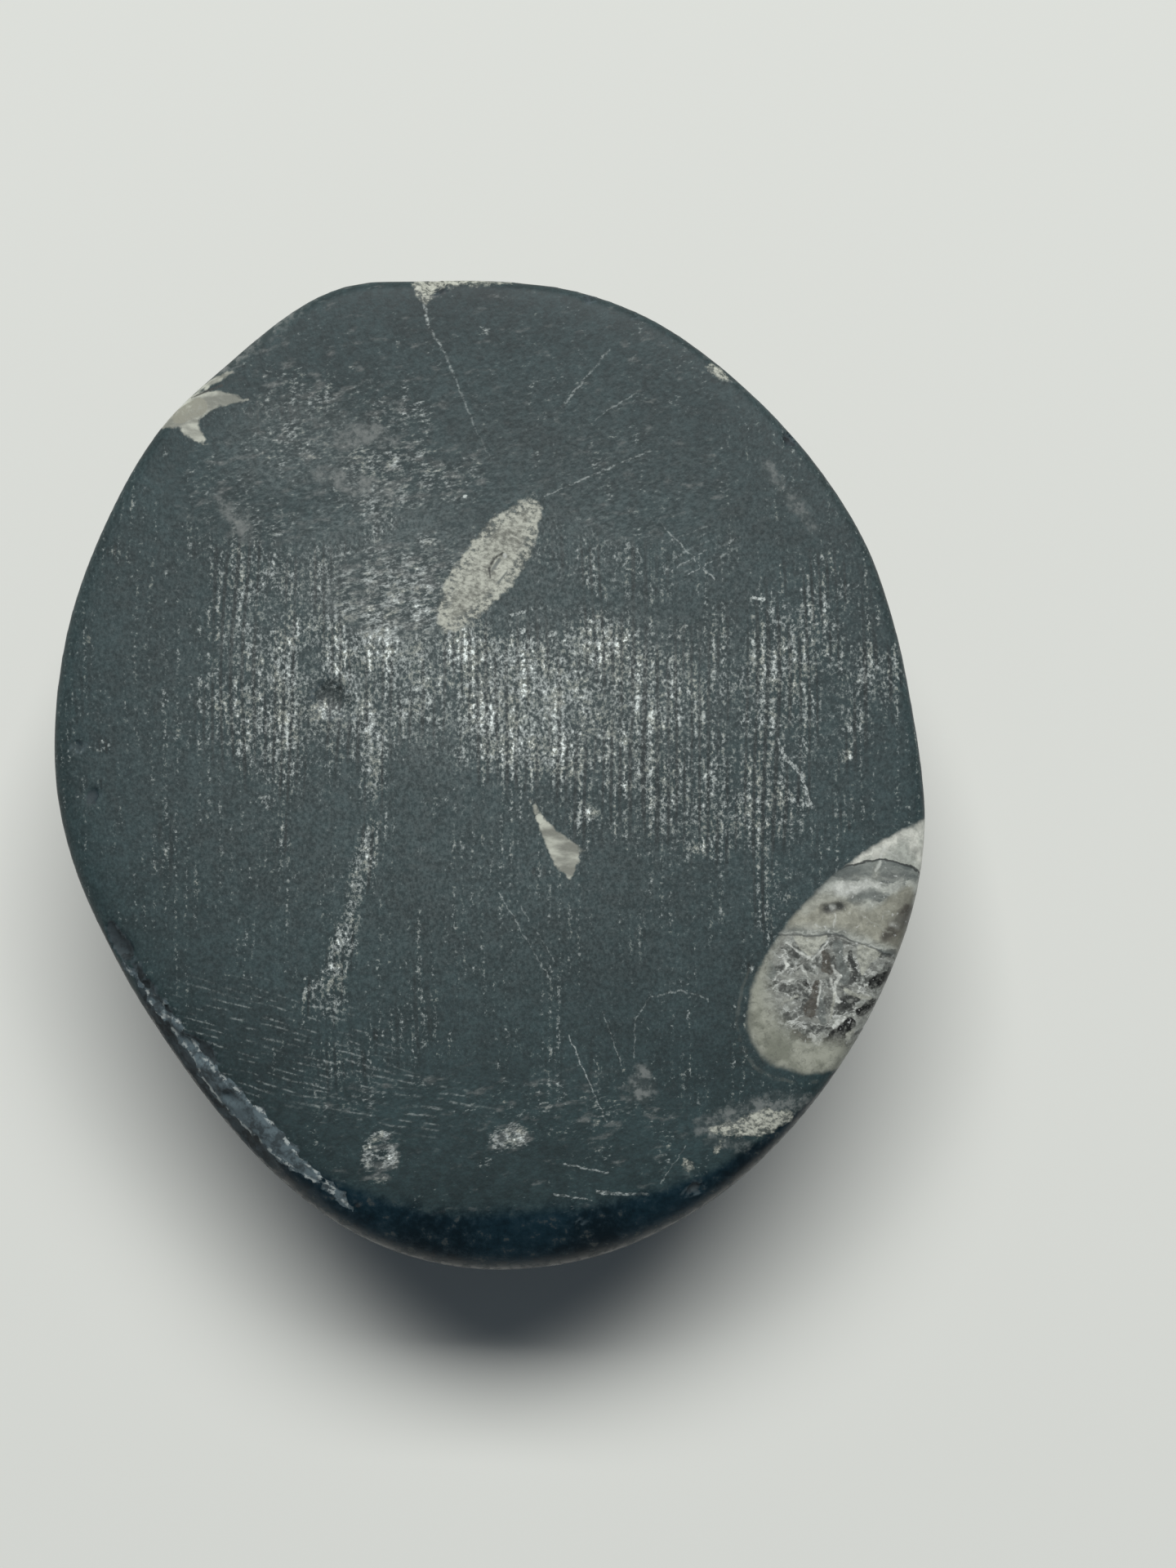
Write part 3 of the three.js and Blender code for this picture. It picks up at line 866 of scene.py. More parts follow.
def shell_group(stroke, oval):
    """The large chambered shell at the rim: clear, clouded and crushed calcite between its walls.

    Line is 1 on a thin line that follows the shell a little outside it.
    """
    group, w, given, out = new_group(
        "Chambered Shell", {"Point": ORIGIN}, {"Mask": "Float", "Colour": "Color", "Line": "Float"})
    point = given["Point"]
    shake = w.grain(point, 1.4, detail=3.0, roughness=0.6, colour=True)
    shake = w.vector("SUBTRACT", shake, (0.5, 0.5, 0.5))
    bent = w.vector("ADD", point, w.scaled(shake, 1.5))
    edge_bent = w.vector("ADD", point, w.scaled(shake, 0.7))
    from_face = w.vector("SUBTRACT", point, (0.0, 0.0, FACE_HEIGHT))
    near_face = w.stretched(from_face, (1.0, 1.0, 0.3))
    slightly_bent = w.vector("ADD", near_face, w.stretched(shake, (1.1, 1.1, 0.0)))
    reach = w.place(
        oval, Point=edge_bent, Centre=(*SHELL_CENTRE, FACE_HEIGHT), Half_Size=(*SHELL_HALF, SHELL_DEPTH),
        Turn=math.radians(SHELL_TURN))["Reach"]
    x, y, _ = w.split(edge_bent)
    over_first, over_second = over_walls(w, x, y, w.split(from_face)[2])

    cloud = w.grain(bent, 2.6, detail=3.0, roughness=0.62)
    streak = w.grain(w.stretched(bent, (0.5, 1.3, 0.8)), 1.5, detail=3.0, roughness=0.65)
    sparkle = w.grain(point, 0.45, detail=2.0, roughness=0.6)
    fine_tone = w.grain(w.stretched(bent, (0.8, 1.0, 1.0)), 0.55, detail=3.0, roughness=0.7)

    # The three chambers, each a little uneven.
    uneven = w.fade(fine_tone, 0.36, 0.64, 0.84, 1.14)
    clear = w.scaled(w.mix(w.fade(cloud, 0.36, 0.56), *SHELL_CALCITE["clear"]), uneven)
    clouded = w.scaled(clouded_calcite(w, stroke, slightly_bent, over_second, cloud, streak), uneven)
    crushed = crushed_calcite(w, stroke, slightly_bent, cloud, streak, sparkle)
    crushed = w.scaled(crushed, w.fade(fine_tone, 0.34, 0.66, 0.75, 1.3))

    # The shell's own pale wall round the crushed end, thick at the lower left and gone towards the top.
    thick = w.fade(y, -25.0, -13.0, 0.73, 0.97)
    outer_wall = w.fade(reach, w.minus(thick, 0.06), w.plus(thick, 0.13))
    outer_wall = w.times(outer_wall, w.fall(x, 30.5, 36.0))
    wall_colour = w.mix(w.fade(cloud, 0.36, 0.62), *SHELL_CALCITE["outer wall"])
    wall_colour = w.mix(w.fade(fine_tone, 0.34, 0.50, 0.5, 0.0), wall_colour, SHELL_TINTS["hollow"])
    crushed = w.mix(outer_wall, crushed, wall_colour)

    # The chambers put together, with their walls and what crosses them.
    colour = w.mix(w.fade(over_second, -0.05, 0.05), crushed, clouded)
    colour = w.mix(w.fade(over_first, -0.05, 0.05), colour, clear)
    under = w.times(w.fade(over_first, -1.5, -0.3), w.fall(over_first, -0.1, 0.05))
    colour = w.mix(w.times(under, 0.6), colour, SHELL_TINTS["shade"])
    colour = lay_strokes(w, stroke, slightly_bent, THREAD_STROKES, 0.10, 0.7, colour)
    for over, strength in ((over_first, 0.9), (over_second, 0.6)):
        line = w.fade(w.maths("ABSOLUTE", over), 0.05, 0.14, strength, 0.0)
        colour = w.mix(line, colour, SHELL_TINTS["line"])

    # Glints, brown towards the rim, and a dull edge.
    glint = w.times(w.fade(sparkle, 0.62, 0.72, 0.0, 0.6), w.fall(reach, 0.7, 0.9))
    colour = w.mix(glint, colour, SHELL_TINTS["glint"])
    brown = w.times(w.fade(x, 35.5, 39.0), w.fade(y, -9.0, -13.0))
    colour = w.mix(w.times(brown, 0.75), colour, SHELL_TINTS["brown"])
    colour = w.mix(w.fade(reach, 0.955, 1.0, 0.0, 0.35), colour, SHELL_TINTS["edge"])

    outside = w.fall(w.apart(reach, 1.065), 0.004, 0.018)
    patchy = w.times(w.fade(y, -15.0, -19.0), w.fade(cloud, 0.4, 0.56))
    w.plug(out["Mask"], w.fall(reach, 0.98, 1.02))
    w.plug(out["Colour"], colour)
    w.plug(out["Line"], w.times(outside, patchy))
    return group


def orthocone_group():
    """A straight tapering shell under the dome: chambers, the walls between them and the tube."""
    group, w, given, out = new_group(
        "Straight Shell",
        {"Point": ORIGIN, "Tip": (-9.0, -33.0, 6.0), "Mouth": (8.0, 27.0, 4.5),
         "Tip Radius": 1.5, "Mouth Radius": 8.0, "Chamber": 4.2},
        {"Mask": "Float", "Colour": "Color"},
    )
    from_tip = w.vector("SUBTRACT", given["Point"], given["Tip"])
    whole = w.vector("SUBTRACT", given["Mouth"], given["Tip"])
    length = w.vector("LENGTH", whole)
    share = w.maths("DIVIDE", w.vector("DOT_PRODUCT", from_tip, whole), w.times(length, length))
    off = w.vector("LENGTH", w.vector("SUBTRACT", from_tip, w.scaled(whole, share)))
    radius = w.mix(w.maths("MINIMUM", share, 1.0), given["Tip Radius"], given["Mouth Radius"])
    shake = w.times(w.minus(w.grain(given["Point"], 2.0, detail=3.0), 0.5), 0.22)
    reach = w.plus(w.maths("DIVIDE", off, radius), shake)
    mouth = w.fall(w.plus(share, shake), 0.98, 1.02)
    ends = w.times(w.fade(share, 0.0, 0.02), mouth)
    mask = w.times(w.fall(reach, 0.98, 1.02), ends)

    # Its chambers, between walls as hollow as a bowl, each in a tone of its own.
    bowl = w.times(reach, reach, -0.35)
    along = w.maths("DIVIDE", w.times(share, length), given["Chamber"])
    count = w.plus(along, bowl)
    step = w.apart(w.maths("FRACT", count), 0.5)
    septum = w.fade(step, 0.455, 0.485)
    number = w.maths("FLOOR", count)
    pick = w.add("ShaderNodeTexWhiteNoise", noise_dimensions="1D")
    w.plug(pick.inputs["W"], number)
    cloud = w.grain(given["Point"], 2.4, detail=4.0, roughness=0.6, distortion=0.4)
    tone = w.maths("MULTIPLY_ADD", pick.outputs["Value"], 0.35, w.fade(cloud, 0.3, 0.7))
    colour = w.mix(w.minus(tone, 0.15), *STRAIGHT_SHELL_CALCITE)

    # The open end is filled with mud, and the tube runs through the chambers only.
    body = w.fade(share, 0.80, 0.84)
    tints = STRAIGHT_SHELL_TINTS
    colour = w.mix(w.times(body, w.fade(cloud, 0.3, 0.5)), colour, tints["mud"])
    colour = w.mix(w.times(septum, 0.9), colour, tints["chamber wall"])
    wall = w.fade(reach, 0.90, 0.94)
    colour = w.mix(w.times(wall, 0.8), colour, tints["outer wall"])
    tube = w.fall(w.apart(reach, 0.20), 0.02, 0.05)
    tube = w.times(tube, w.fall(body, 0.0, 1.0))
    colour = w.mix(tube, colour, tints["tube"])
    w.plug(out["Mask"], mask)
    w.plug(out["Colour"], colour)
    return group


# ---------------------------------------------------------------- the layers of the rock


def part_of(colour, share):
    """The same colour, darker or lighter."""
    return tuple(share * channel for channel in colour)


def noise_group():
    """The noises that every layer of the rock is cut with, from the largest lumps to the smallest."""
    group, w, given, out = new_group(
        "Rock Noise", {"Point": ORIGIN}, {"Cloud": "Float", "Chunk": "Float", "Teeth": "Float"})
    w.plug(out["Cloud"], w.grain(given["Point"], 8.0, detail=2.0, roughness=0.55))
    w.plug(out["Chunk"], w.grain(given["Point"], 1.1, detail=3.0, roughness=0.7))
    w.plug(out["Teeth"], w.grain(given["Point"], 0.7, detail=3.0, roughness=0.6))
    return group


def tooth_group():
    """The height of the stone's finest grain, higher where it is sawn."""
    group, w, given, out = new_group(
        "Stone Tooth", {"Point": ORIGIN, "Sawn": 0.0}, {"Height": "Float"})
    tooth = w.grain(w.stretched(given["Point"], (1.0, 0.7, 1.0)), 0.4, detail=2.0, roughness=0.6)
    w.plug(out["Height"], w.times(tooth, w.fade(given["Sawn"], 0.0, 1.0, 0.3, 1.0)))
    return group


def polished_group(colours):
    """The polished rock, cloudy, with soft pale flecks that take less polish."""
    group, w, given, out = new_group(
        "Polished Rock", {"Cloud": 0.5, "Chunk": 0.5}, {"Colour": "Color", "Roughness": "Float"})
    clouds = w.maths("MULTIPLY_ADD", given["Chunk"], 0.5, w.times(given["Cloud"], 0.5))
    dark, light = part_of(colours.polish, 0.8), part_of(colours.polish, 2.0)
    flecks = w.fade(given["Chunk"], 0.58, 0.70, 0.0, 0.4)
    rock = w.mix(w.fade(clouds, 0.38, 0.62), dark, light)
    w.plug(out["Colour"], w.mix(flecks, rock, part_of(colours.calcite, 0.25)))
    w.plug(out["Roughness"], w.fade(given["Chunk"], 0.45, 0.6, *ROUGHNESS["polished"]))
    return group


def sawn_group(sizes, colours):
    """The sawn rock, mottled, under a film of dust that is partly a painted sheen, with pale grains in its
    saw marks and in clumps.
    """
    group, w, given, out = new_group(
        "Sawn Rock",
        {"Point": ORIGIN, "Cloud": 0.5, "Chunk": 0.5, "Dust": 0.0, "Dashes": 0.0, "Haze": 0.0, "Dim": 0.0},
        {"Colour": "Color", "Fine": "Float"},
    )
    # The share of dust, thicker in clumps of their own.
    clumps = w.cells(w.stretched(given["Point"], (0.7, 1.0, 1.0)), 0.30)
    near = w.fall(clumps["Distance"], 0.03, 0.26)
    thick = w.minus(given["Dust"], given["Dim"])
    richest = w.fade(thick, 0.1, 0.5, 0.55, 1.0)
    picked = w.fade(w.split(clumps["Color"])[0], 0.35, 0.95, 0.0, richest)
    dust = w.maths("MULTIPLY_ADD", near, picked, thick)
    grains = w.place(
        sawn_grain_group(), Point=given["Point"], Pitch=sizes.saw_pitch / MM, Grain=sizes.fleck / MM,
        Share=dust, Dashes=given["Dashes"])
    fine = grains["Fine"]

    # The mottled rock, then the film of dust, partly a painted sheen, the smears and the grains.
    grooved = w.times(grains["Groove"], w.fade(dust, 0.1, 0.6, 0.05, 0.5))
    # Dim darkens the rock; in the large pit that darkening is painted shade.
    mottle = w.times(
        w.fade(given["Cloud"], 0.3, 0.7, 0.88, 1.12), w.fade(fine, 0.3, 0.7, 0.82, 1.2),
        w.fade(given["Chunk"], 0.35, 0.65, 0.84, 1.18), w.minus(1.0, grooved), w.minus(1.0, given["Dim"]))
    slate = w.scaled(tuple(colours.slate), mottle)
    dust_and_sheen_film = w.times(given["Haze"], w.fade(fine, 0.35, 0.65, 0.4, 1.6))
    face = w.mix(dust_and_sheen_film, slate, tuple(colours.dust))
    smudge = w.times(grains["Smudge"], w.fade(fine, 0.36, 0.6, 0.3, 0.8))
    face = w.mix(smudge, face, part_of(colours.dust, 0.26))
    tint = w.mix(w.fade(given["Chunk"], 0.42, 0.62), tuple(colours.dust), part_of(colours.calcite, 1.2))
    # The whitest grains are paler again: a painted glint of the saw marks' sheen.
    tint = w.mix(w.fade(grains["Dust"], 0.7, 1.0), tint, part_of(colours.dust, 1.5))
    w.plug(out["Colour"], w.mix(grains["Dust"], face, tint))
    w.plug(out["Fine"], fine)
    return group


def stain_group(colours, ragged):
    """Dim, dirty calcite and grey stain, laid over a colour."""
    group, w, given, out = new_group(
        "Stain", {"Colour": BLACK, "Depth": -1.0, "Chunk": 0.5, "Teeth": 0.5}, {"Colour": "Color"})
    tone = given["Chunk"]
    stain = w.mix(w.fade(tone, 0.42, 0.62), tuple(colours.stain), part_of(colours.dust, 0.31))
    mask = w.place(
        ragged, Depth=given["Depth"], Teeth=given["Teeth"], Raggedness=0.45, Softness=0.5)["Mask"]
    mask = w.times(mask, w.fade(tone, 0.38, 0.56, 0.3, 0.8))
    w.plug(out["Colour"], w.mix(mask, given["Colour"], stain))
    return group


def calcite_group(colours, ragged):
    """Smooth and sugary calcite right through the rock, laid over a colour."""
    group, w, given, out = new_group(
        "Calcite",
        {"Colour": BLACK, "Point": ORIGIN, "Teeth": 0.5, "Smooth Depth": -1.0, "Sugar Depth": -1.0},
        {"Colour": "Color"},
    )
    calcite, point, teeth = colours.calcite, given["Point"], given["Teeth"]

    # The smooth kind, with long soft streaks.
    long_grain = w.grain(w.stretched(point, (0.5, 1.2, 0.8)), 1.3, detail=3.0)
    smooth = w.mix(w.fade(long_grain, 0.34, 0.66), part_of(calcite, 0.62), part_of(calcite, 1.55))
    mask = w.place(ragged, Depth=given["Smooth Depth"], Teeth=teeth, Raggedness=0.16, Softness=0.13)["Mask"]
    colour = w.mix(mask, given["Colour"], smooth)

    # The sugary kind, which dissolves grain by grain towards its edge.
    shrunk = w.scaled(point, 1.0 / SUGAR_GRAIN)
    slanted = w.stretched(w.turned(shrunk, math.radians(12)), (0.75, 1.0, 1.0))
    grains = w.grain(slanted, 1.0, detail=3.0, roughness=0.7)
    tone = w.fade(w.shaken(grains, w.grain(point, 1.8, detail=2.0), 0.35), 0.28, 0.72)
    sugar = w.mix(tone, part_of(calcite, 0.46), part_of(calcite, 1.48))
    depth = given["Sugar Depth"]
    mask = w.place(ragged, Depth=depth, Teeth=teeth, Raggedness=0.34, Softness=0.22)["Mask"]
    dissolved = w.maths("MAXIMUM", w.fade(depth, 0.2, 1.4), w.fade(tone, 0.2, 0.6, 0.35, 1.0))
    w.plug(out["Colour"], w.mix(w.times(mask, dissolved), colour, sugar))
    return group


def broken_group(colours, ragged):
    """The broken rock of the walls and the rim, and its pale ledge, laid over a colour and a roughness."""
    group, w, given, out = new_group(
        "Broken Rock",
        {"Colour": BLACK, "Roughness": 0.5, "Point": ORIGIN, "Chunk": 0.5, "Teeth": 0.5,
         "Broken": 0.0, "Bruised": 0.0, "Ledge Depth": -1.0, "Worn": 0.0},
        {"Colour": "Color", "Roughness": "Float"},
    )
    broken, point, chunk, teeth = colours.broken, given["Point"], given["Chunk"], given["Teeth"]

    # Dark facets, and pale knocks.
    facets = w.cells(w.vector("ADD", point, w.joined(teeth, chunk, teeth)), 0.55)
    facet = w.maths("MULTIPLY_ADD", w.split(facets["Color"])[0], 0.35, chunk)
    rock = w.mix(w.fade(facet, 0.45, 0.85), part_of(broken, 0.16), part_of(broken, 0.45))
    mask = w.fade(w.shaken(given["Broken"], teeth, 0.9), 0.3, 0.7)
    colour = w.mix(mask, given["Colour"], rock)
    bruised = w.times(given["Bruised"], w.fade(teeth, 0.46, 0.58, 0.0, 0.8))
    colour = w.mix(bruised, colour, tuple(broken))

    # The pale ledge, whitest in flakes along its inner edge.
    depth = given["Ledge Depth"]
    slabs = w.cells(w.vector("ADD", point, w.joined(teeth, chunk, 0.0)), 0.8)
    ledge = w.place(
        ragged, Depth=depth, Teeth=slabs["Distance"], Raggedness=0.28, Softness=0.08)["Mask"]
    pale = w.mix(w.fade(chunk, 0.38, 0.60), part_of(broken, 0.45), part_of(broken, 1.15))
    inner_edge = w.fall(w.apart(depth, 0.15), 0.05, 0.3)
    flakes = w.times(inner_edge, w.fade(teeth, 0.48, 0.56, 0.0, 0.6))
    pale = w.mix(flakes, pale, tuple(colours.dust))
    colour = w.mix(ledge, colour, pale)
    worn = w.times(given["Worn"], w.fade(teeth, 0.42, 0.6, 0.0, 0.5))
    w.plug(out["Colour"], w.mix(worn, colour, tuple(broken)))
    bare = w.most(mask, ledge, given["Bruised"])
    w.plug(out["Roughness"], w.mix(bare, given["Roughness"], ROUGHNESS["broken"]))
    return group


class Limestone:
    """Builds the material of one zone of the rock, layer on layer, from the groups the zones share."""

    def __init__(self, name, groups, colours):
        self.groups = groups
        self.colours = colours
        self.material = bpy.data.materials.new(name)
        self.material.use_nodes = True
        self.material.node_tree.nodes.clear()
        self.w = w = Wiring(self.material.node_tree)
        self.point = w.scaled(w.add("ShaderNodeTexCoord").outputs["Object"], 1.0 / MM)
        self.noise = w.place(groups["noise"], Point=self.point)
        self.chunk, self.teeth = self.noise["Chunk"], self.noise["Teeth"]
        rock = w.place(groups["polished"], Cloud=self.noise["Cloud"], Chunk=self.chunk)
        self.colour, self.rough = rock["Colour"], rock["Roughness"]

    def painted(self, name):
        """A mask or a depth that the mesh carries."""
        return self.w.add("ShaderNodeAttribute", attribute_name=name).outputs["Fac"]

    def lay_veins(self):
        """Thin calcite veins and small shell scraps in the polished rock."""
        w, calcite, cloud = self.w, self.colours.calcite, self.noise["Cloud"]
        waves = w.grain(self.point, 24.0, detail=3.0, roughness=0.55)
        ridge = w.apart(waves, 0.5)
        veins = w.times(w.fade(ridge, 0.001, 0.006, 0.55, 0.0), w.fade(cloud, 0.46, 0.60))
        self.colour = w.mix(veins, self.colour, part_of(calcite, 0.55))
        scraps = w.cells(w.stretched(self.point, (1.0, 0.55, 0.8)), 0.13)
        size = w.fade(w.split(scraps["Color"])[0], 0.35, 1.0, 0.0, 0.16)
        edge = w.shaken(scraps["Distance"], self.teeth, 0.12)
        inside = w.minus(size, edge)
        scrap_colour = w.mix(w.fade(self.chunk, 0.4, 0.6), part_of(calcite, 0.25), part_of(calcite, 0.7))
        self.colour = w.mix(w.fade(inside, 0.0, 0.02, 0.0, 0.9), self.colour, scrap_colour)

    def lay_straight_shell(self, group):
        """The straight shell that the ground dome cuts."""
        shell = self.w.place(group, Point=self.point)
        self.colour = self.w.mix(shell["Mask"], self.colour, shell["Colour"])

    def lay_sawn_face(self):
        """The sawn and stained rock, kept as the face's colour until it is laid on the ground rock."""
        w = self.w
        sawn = w.place(
            self.groups["sawn"], Point=self.point, Cloud=self.noise["Cloud"], Chunk=self.chunk,
            Dust=self.painted("dust"), Dashes=self.painted("dashes"), Haze=self.painted("haze_and_sheen"),
            Dim=self.painted("dim"))
        self.fine = sawn["Fine"]
        self.face = w.place(
            self.groups["stain"], Colour=sawn["Colour"], Depth=self.painted("stain"), Chunk=self.chunk,
            Teeth=self.teeth)["Colour"]

    def scratch_face(self, singles, fan):
        """The single scratches, the vein and the fans of scratches, whitest where the grain is high."""
        w = self.w
        flat = w.stretched(self.point, (1.0, 1.0, 0.0))
        shake = w.scaled(w.joined(self.teeth, self.chunk, 0.0), 0.6)
        shaken = w.vector("ADD", flat, w.vector("SUBTRACT", shake, (0.3, 0.3, 0.0)))
        scratches = w.place(singles, Point=shaken)
        vein = w.times(scratches["Vein"], w.fade(self.chunk, 0.36, 0.60, 0.15, 0.75))
        white = w.most(scratches["Scratch"], vein)
        for centre, half, turn, spacing, strength in SCRATCH_FANS:
            mask = w.place(
                fan, Point=flat, Centre=(*centre, 0.0), Half_Size=(*half, 9.0), Turn=math.radians(turn),
                Spacing=spacing)["Mask"]
            white = w.most(white, w.times(mask, strength))
        worn_through = w.fade(self.fine, 0.40, 0.60, 0.1, 1.0)
        self.face = w.mix(w.times(white, worn_through), self.face, tuple(self.colours.dust))

    def lay_face_on_ground(self):
        """Lays the face's colour on the ground rock wherever the stone is sawn."""
        w = self.w
        sawn = w.shaken(self.painted("sawn"), self.chunk, 0.35)
        sawn = w.fade(sawn, 0.3, 0.7)
        self.colour = w.mix(sawn, self.colour, self.face)
        self.rough = w.mix(sawn, self.rough, ROUGHNESS["sawn"])

    def break_rim(self):
        """The broken, bruised and worn rock of the walls and the rim."""
        rim = self.w.place(
            self.groups["broken"], Colour=self.colour, Roughness=self.rough, Point=self.point,
            Chunk=self.chunk, Teeth=self.teeth, Broken=self.painted("broken"),
            Bruised=self.painted("bruised"), Ledge_Depth=self.painted("ledge"), Worn=self.painted("worn"))
        self.colour, self.rough = rim["Colour"], rim["Roughness"]

    def lay_calcite(self):
        """The smooth and the sugary calcite, which go on down the wall."""
        self.colour = self.w.place(
            self.groups["calcite"], Colour=self.colour, Point=self.point, Teeth=self.teeth,
            Smooth_Depth=self.painted("spar"), Sugar_Depth=self.painted("sugar"))["Colour"]

    def stroke_calcite(self, stroke):
        """The small shell in the long oval, and the dull middle and the crack of the star."""
        w = self.w
        flat = w.stretched(self.point, (1.0, 1.0, 0.0))
        worn = w.fade(self.teeth, 0.36, 0.5, 0.5, 0.95)
        self.colour = lay_strokes(w, stroke, flat, CALCITE_STROKES, 0.09, worn, self.colour)

    def lay_chambered_shell(self, group):
        """The large shell, and the thin line that follows it on the sawn face."""
        w = self.w
        shell = w.place(group, Point=self.point)
        line = w.times(shell["Line"], w.times(self.painted("sawn"), 0.18))
        self.colour = w.mix(line, self.colour, part_of(self.colours.calcite, 0.6))
        self.colour = w.mix(shell["Mask"], self.colour, shell["Colour"])
        self.rough = w.mix(shell["Mask"], self.rough, ROUGHNESS["shell"])

    def finish(self):
        """Gives the rock its fine tooth and joins all of it to the material's surface."""
        w = self.w
        bump = w.add("ShaderNodeBump")
        bump.inputs["Distance"].default_value = TOOTH_HEIGHT * MM
        tooth = w.place(self.groups["tooth"], Point=self.point, Sawn=self.painted("sawn"))
        w.plug(bump.inputs["Height"], tooth["Height"])
        surface = w.add("ShaderNodeBsdfPrincipled")
        w.plug(surface.inputs["Base Color"], self.colour)
        w.plug(surface.inputs["Roughness"], self.rough)
        w.plug(surface.inputs["Normal"], bump.outputs["Normal"])
        surface.inputs["Specular IOR Level"].default_value = 0.4
        w.plug(w.add("ShaderNodeOutputMaterial").inputs["Surface"], surface.outputs[0])
        return self.material


def stone_materials(sizes, colours):
    """The rock's materials: its sawn face, the zone of the large shell, and its polished dome."""
    ragged, stroke, oval = ragged_group(), stroke_group(), oval_group()
    groups = {
        "noise": noise_group(),
        "tooth": tooth_group(),
        "polished": polished_group(colours),
        "sawn": sawn_group(sizes, colours),
        "stain": stain_group(colours, ragged),
        "broken": broken_group(colours, ragged),
        "calcite": calcite_group(colours, ragged),
    }
    face = Limestone("sawn limestone", groups, colours)
    face.lay_sawn_face()
    face.scratch_face(scratches_group(stroke), scratch_fan_group(oval))
    face.lay_face_on_ground()
    face.break_rim()
    face.lay_calcite()
    face.stroke_calcite(stroke)

    shell = Limestone("shell in limestone", groups, colours)
    shell.lay_sawn_face()
    shell.lay_face_on_ground()
    shell.break_rim()
    shell.lay_calcite()
    shell.lay_chambered_shell(shell_group(stroke, oval))

    dome = Limestone("polished limestone", groups, colours)
    dome.lay_veins()
    dome.lay_straight_shell(orthocone_group())
    dome.break_rim()
    dome.lay_calcite()
    return [zone.finish() for zone in (face, shell, dome)]


# ---------------------------------------------------------------- the stone's mesh


def solid_in_quads(cad):
    """The solid's mesh with shared corners and its pairs of triangles joined into quads."""
    shape = bmesh.new()
    shape.from_mesh(cad.data)
    bmesh.ops.remove_doubles(shape, verts=shape.verts, dist=1e-6)
    bmesh.ops.join_triangles(
        shape, faces=shape.faces, angle_face_threshold=math.radians(40),
        angle_shape_threshold=math.radians(60))
    mesh = bpy.data.meshes.new("stone_quads")
    shape.to_mesh(mesh)
    shape.free()
    return mesh


def even_mesh(rough_mesh, grain):
    """The same shape, rounded between its corners, in faces of one size."""
    helper = bpy.data.objects.new("stone_helper", rough_mesh)
    bpy.context.scene.collection.objects.link(helper)
    rounding = helper.modifiers.new("rounding", "SUBSURF")
    rounding.levels = 2
    rounding.render_levels = 2
    evening = helper.modifiers.new("evening", "REMESH")
    evening.mode = "VOXEL"
    evening.voxel_size = grain
    evening.use_smooth_shade = True
    graph = bpy.context.evaluated_depsgraph_get()
    mesh = bpy.data.meshes.new_from_object(helper.evaluated_get(graph))
    bpy.data.objects.remove(helper)
    bpy.data.meshes.remove(rough_mesh)
    return mesh


def oval_reach(points, centre, half, turn):
    """How far out points lie in an oval seen from above, from 0 in its middle to 1 on its edge."""
    angle = math.radians(turn)
    dx, dy = points[:, 0] - centre[0], points[:, 1] - centre[1]
    along = (dx * math.cos(angle) + dy * math.sin(angle)) / half[0]
    across = (dy * math.cos(angle) - dx * math.sin(angle)) / half[1]
    return np.hypot(along, across)


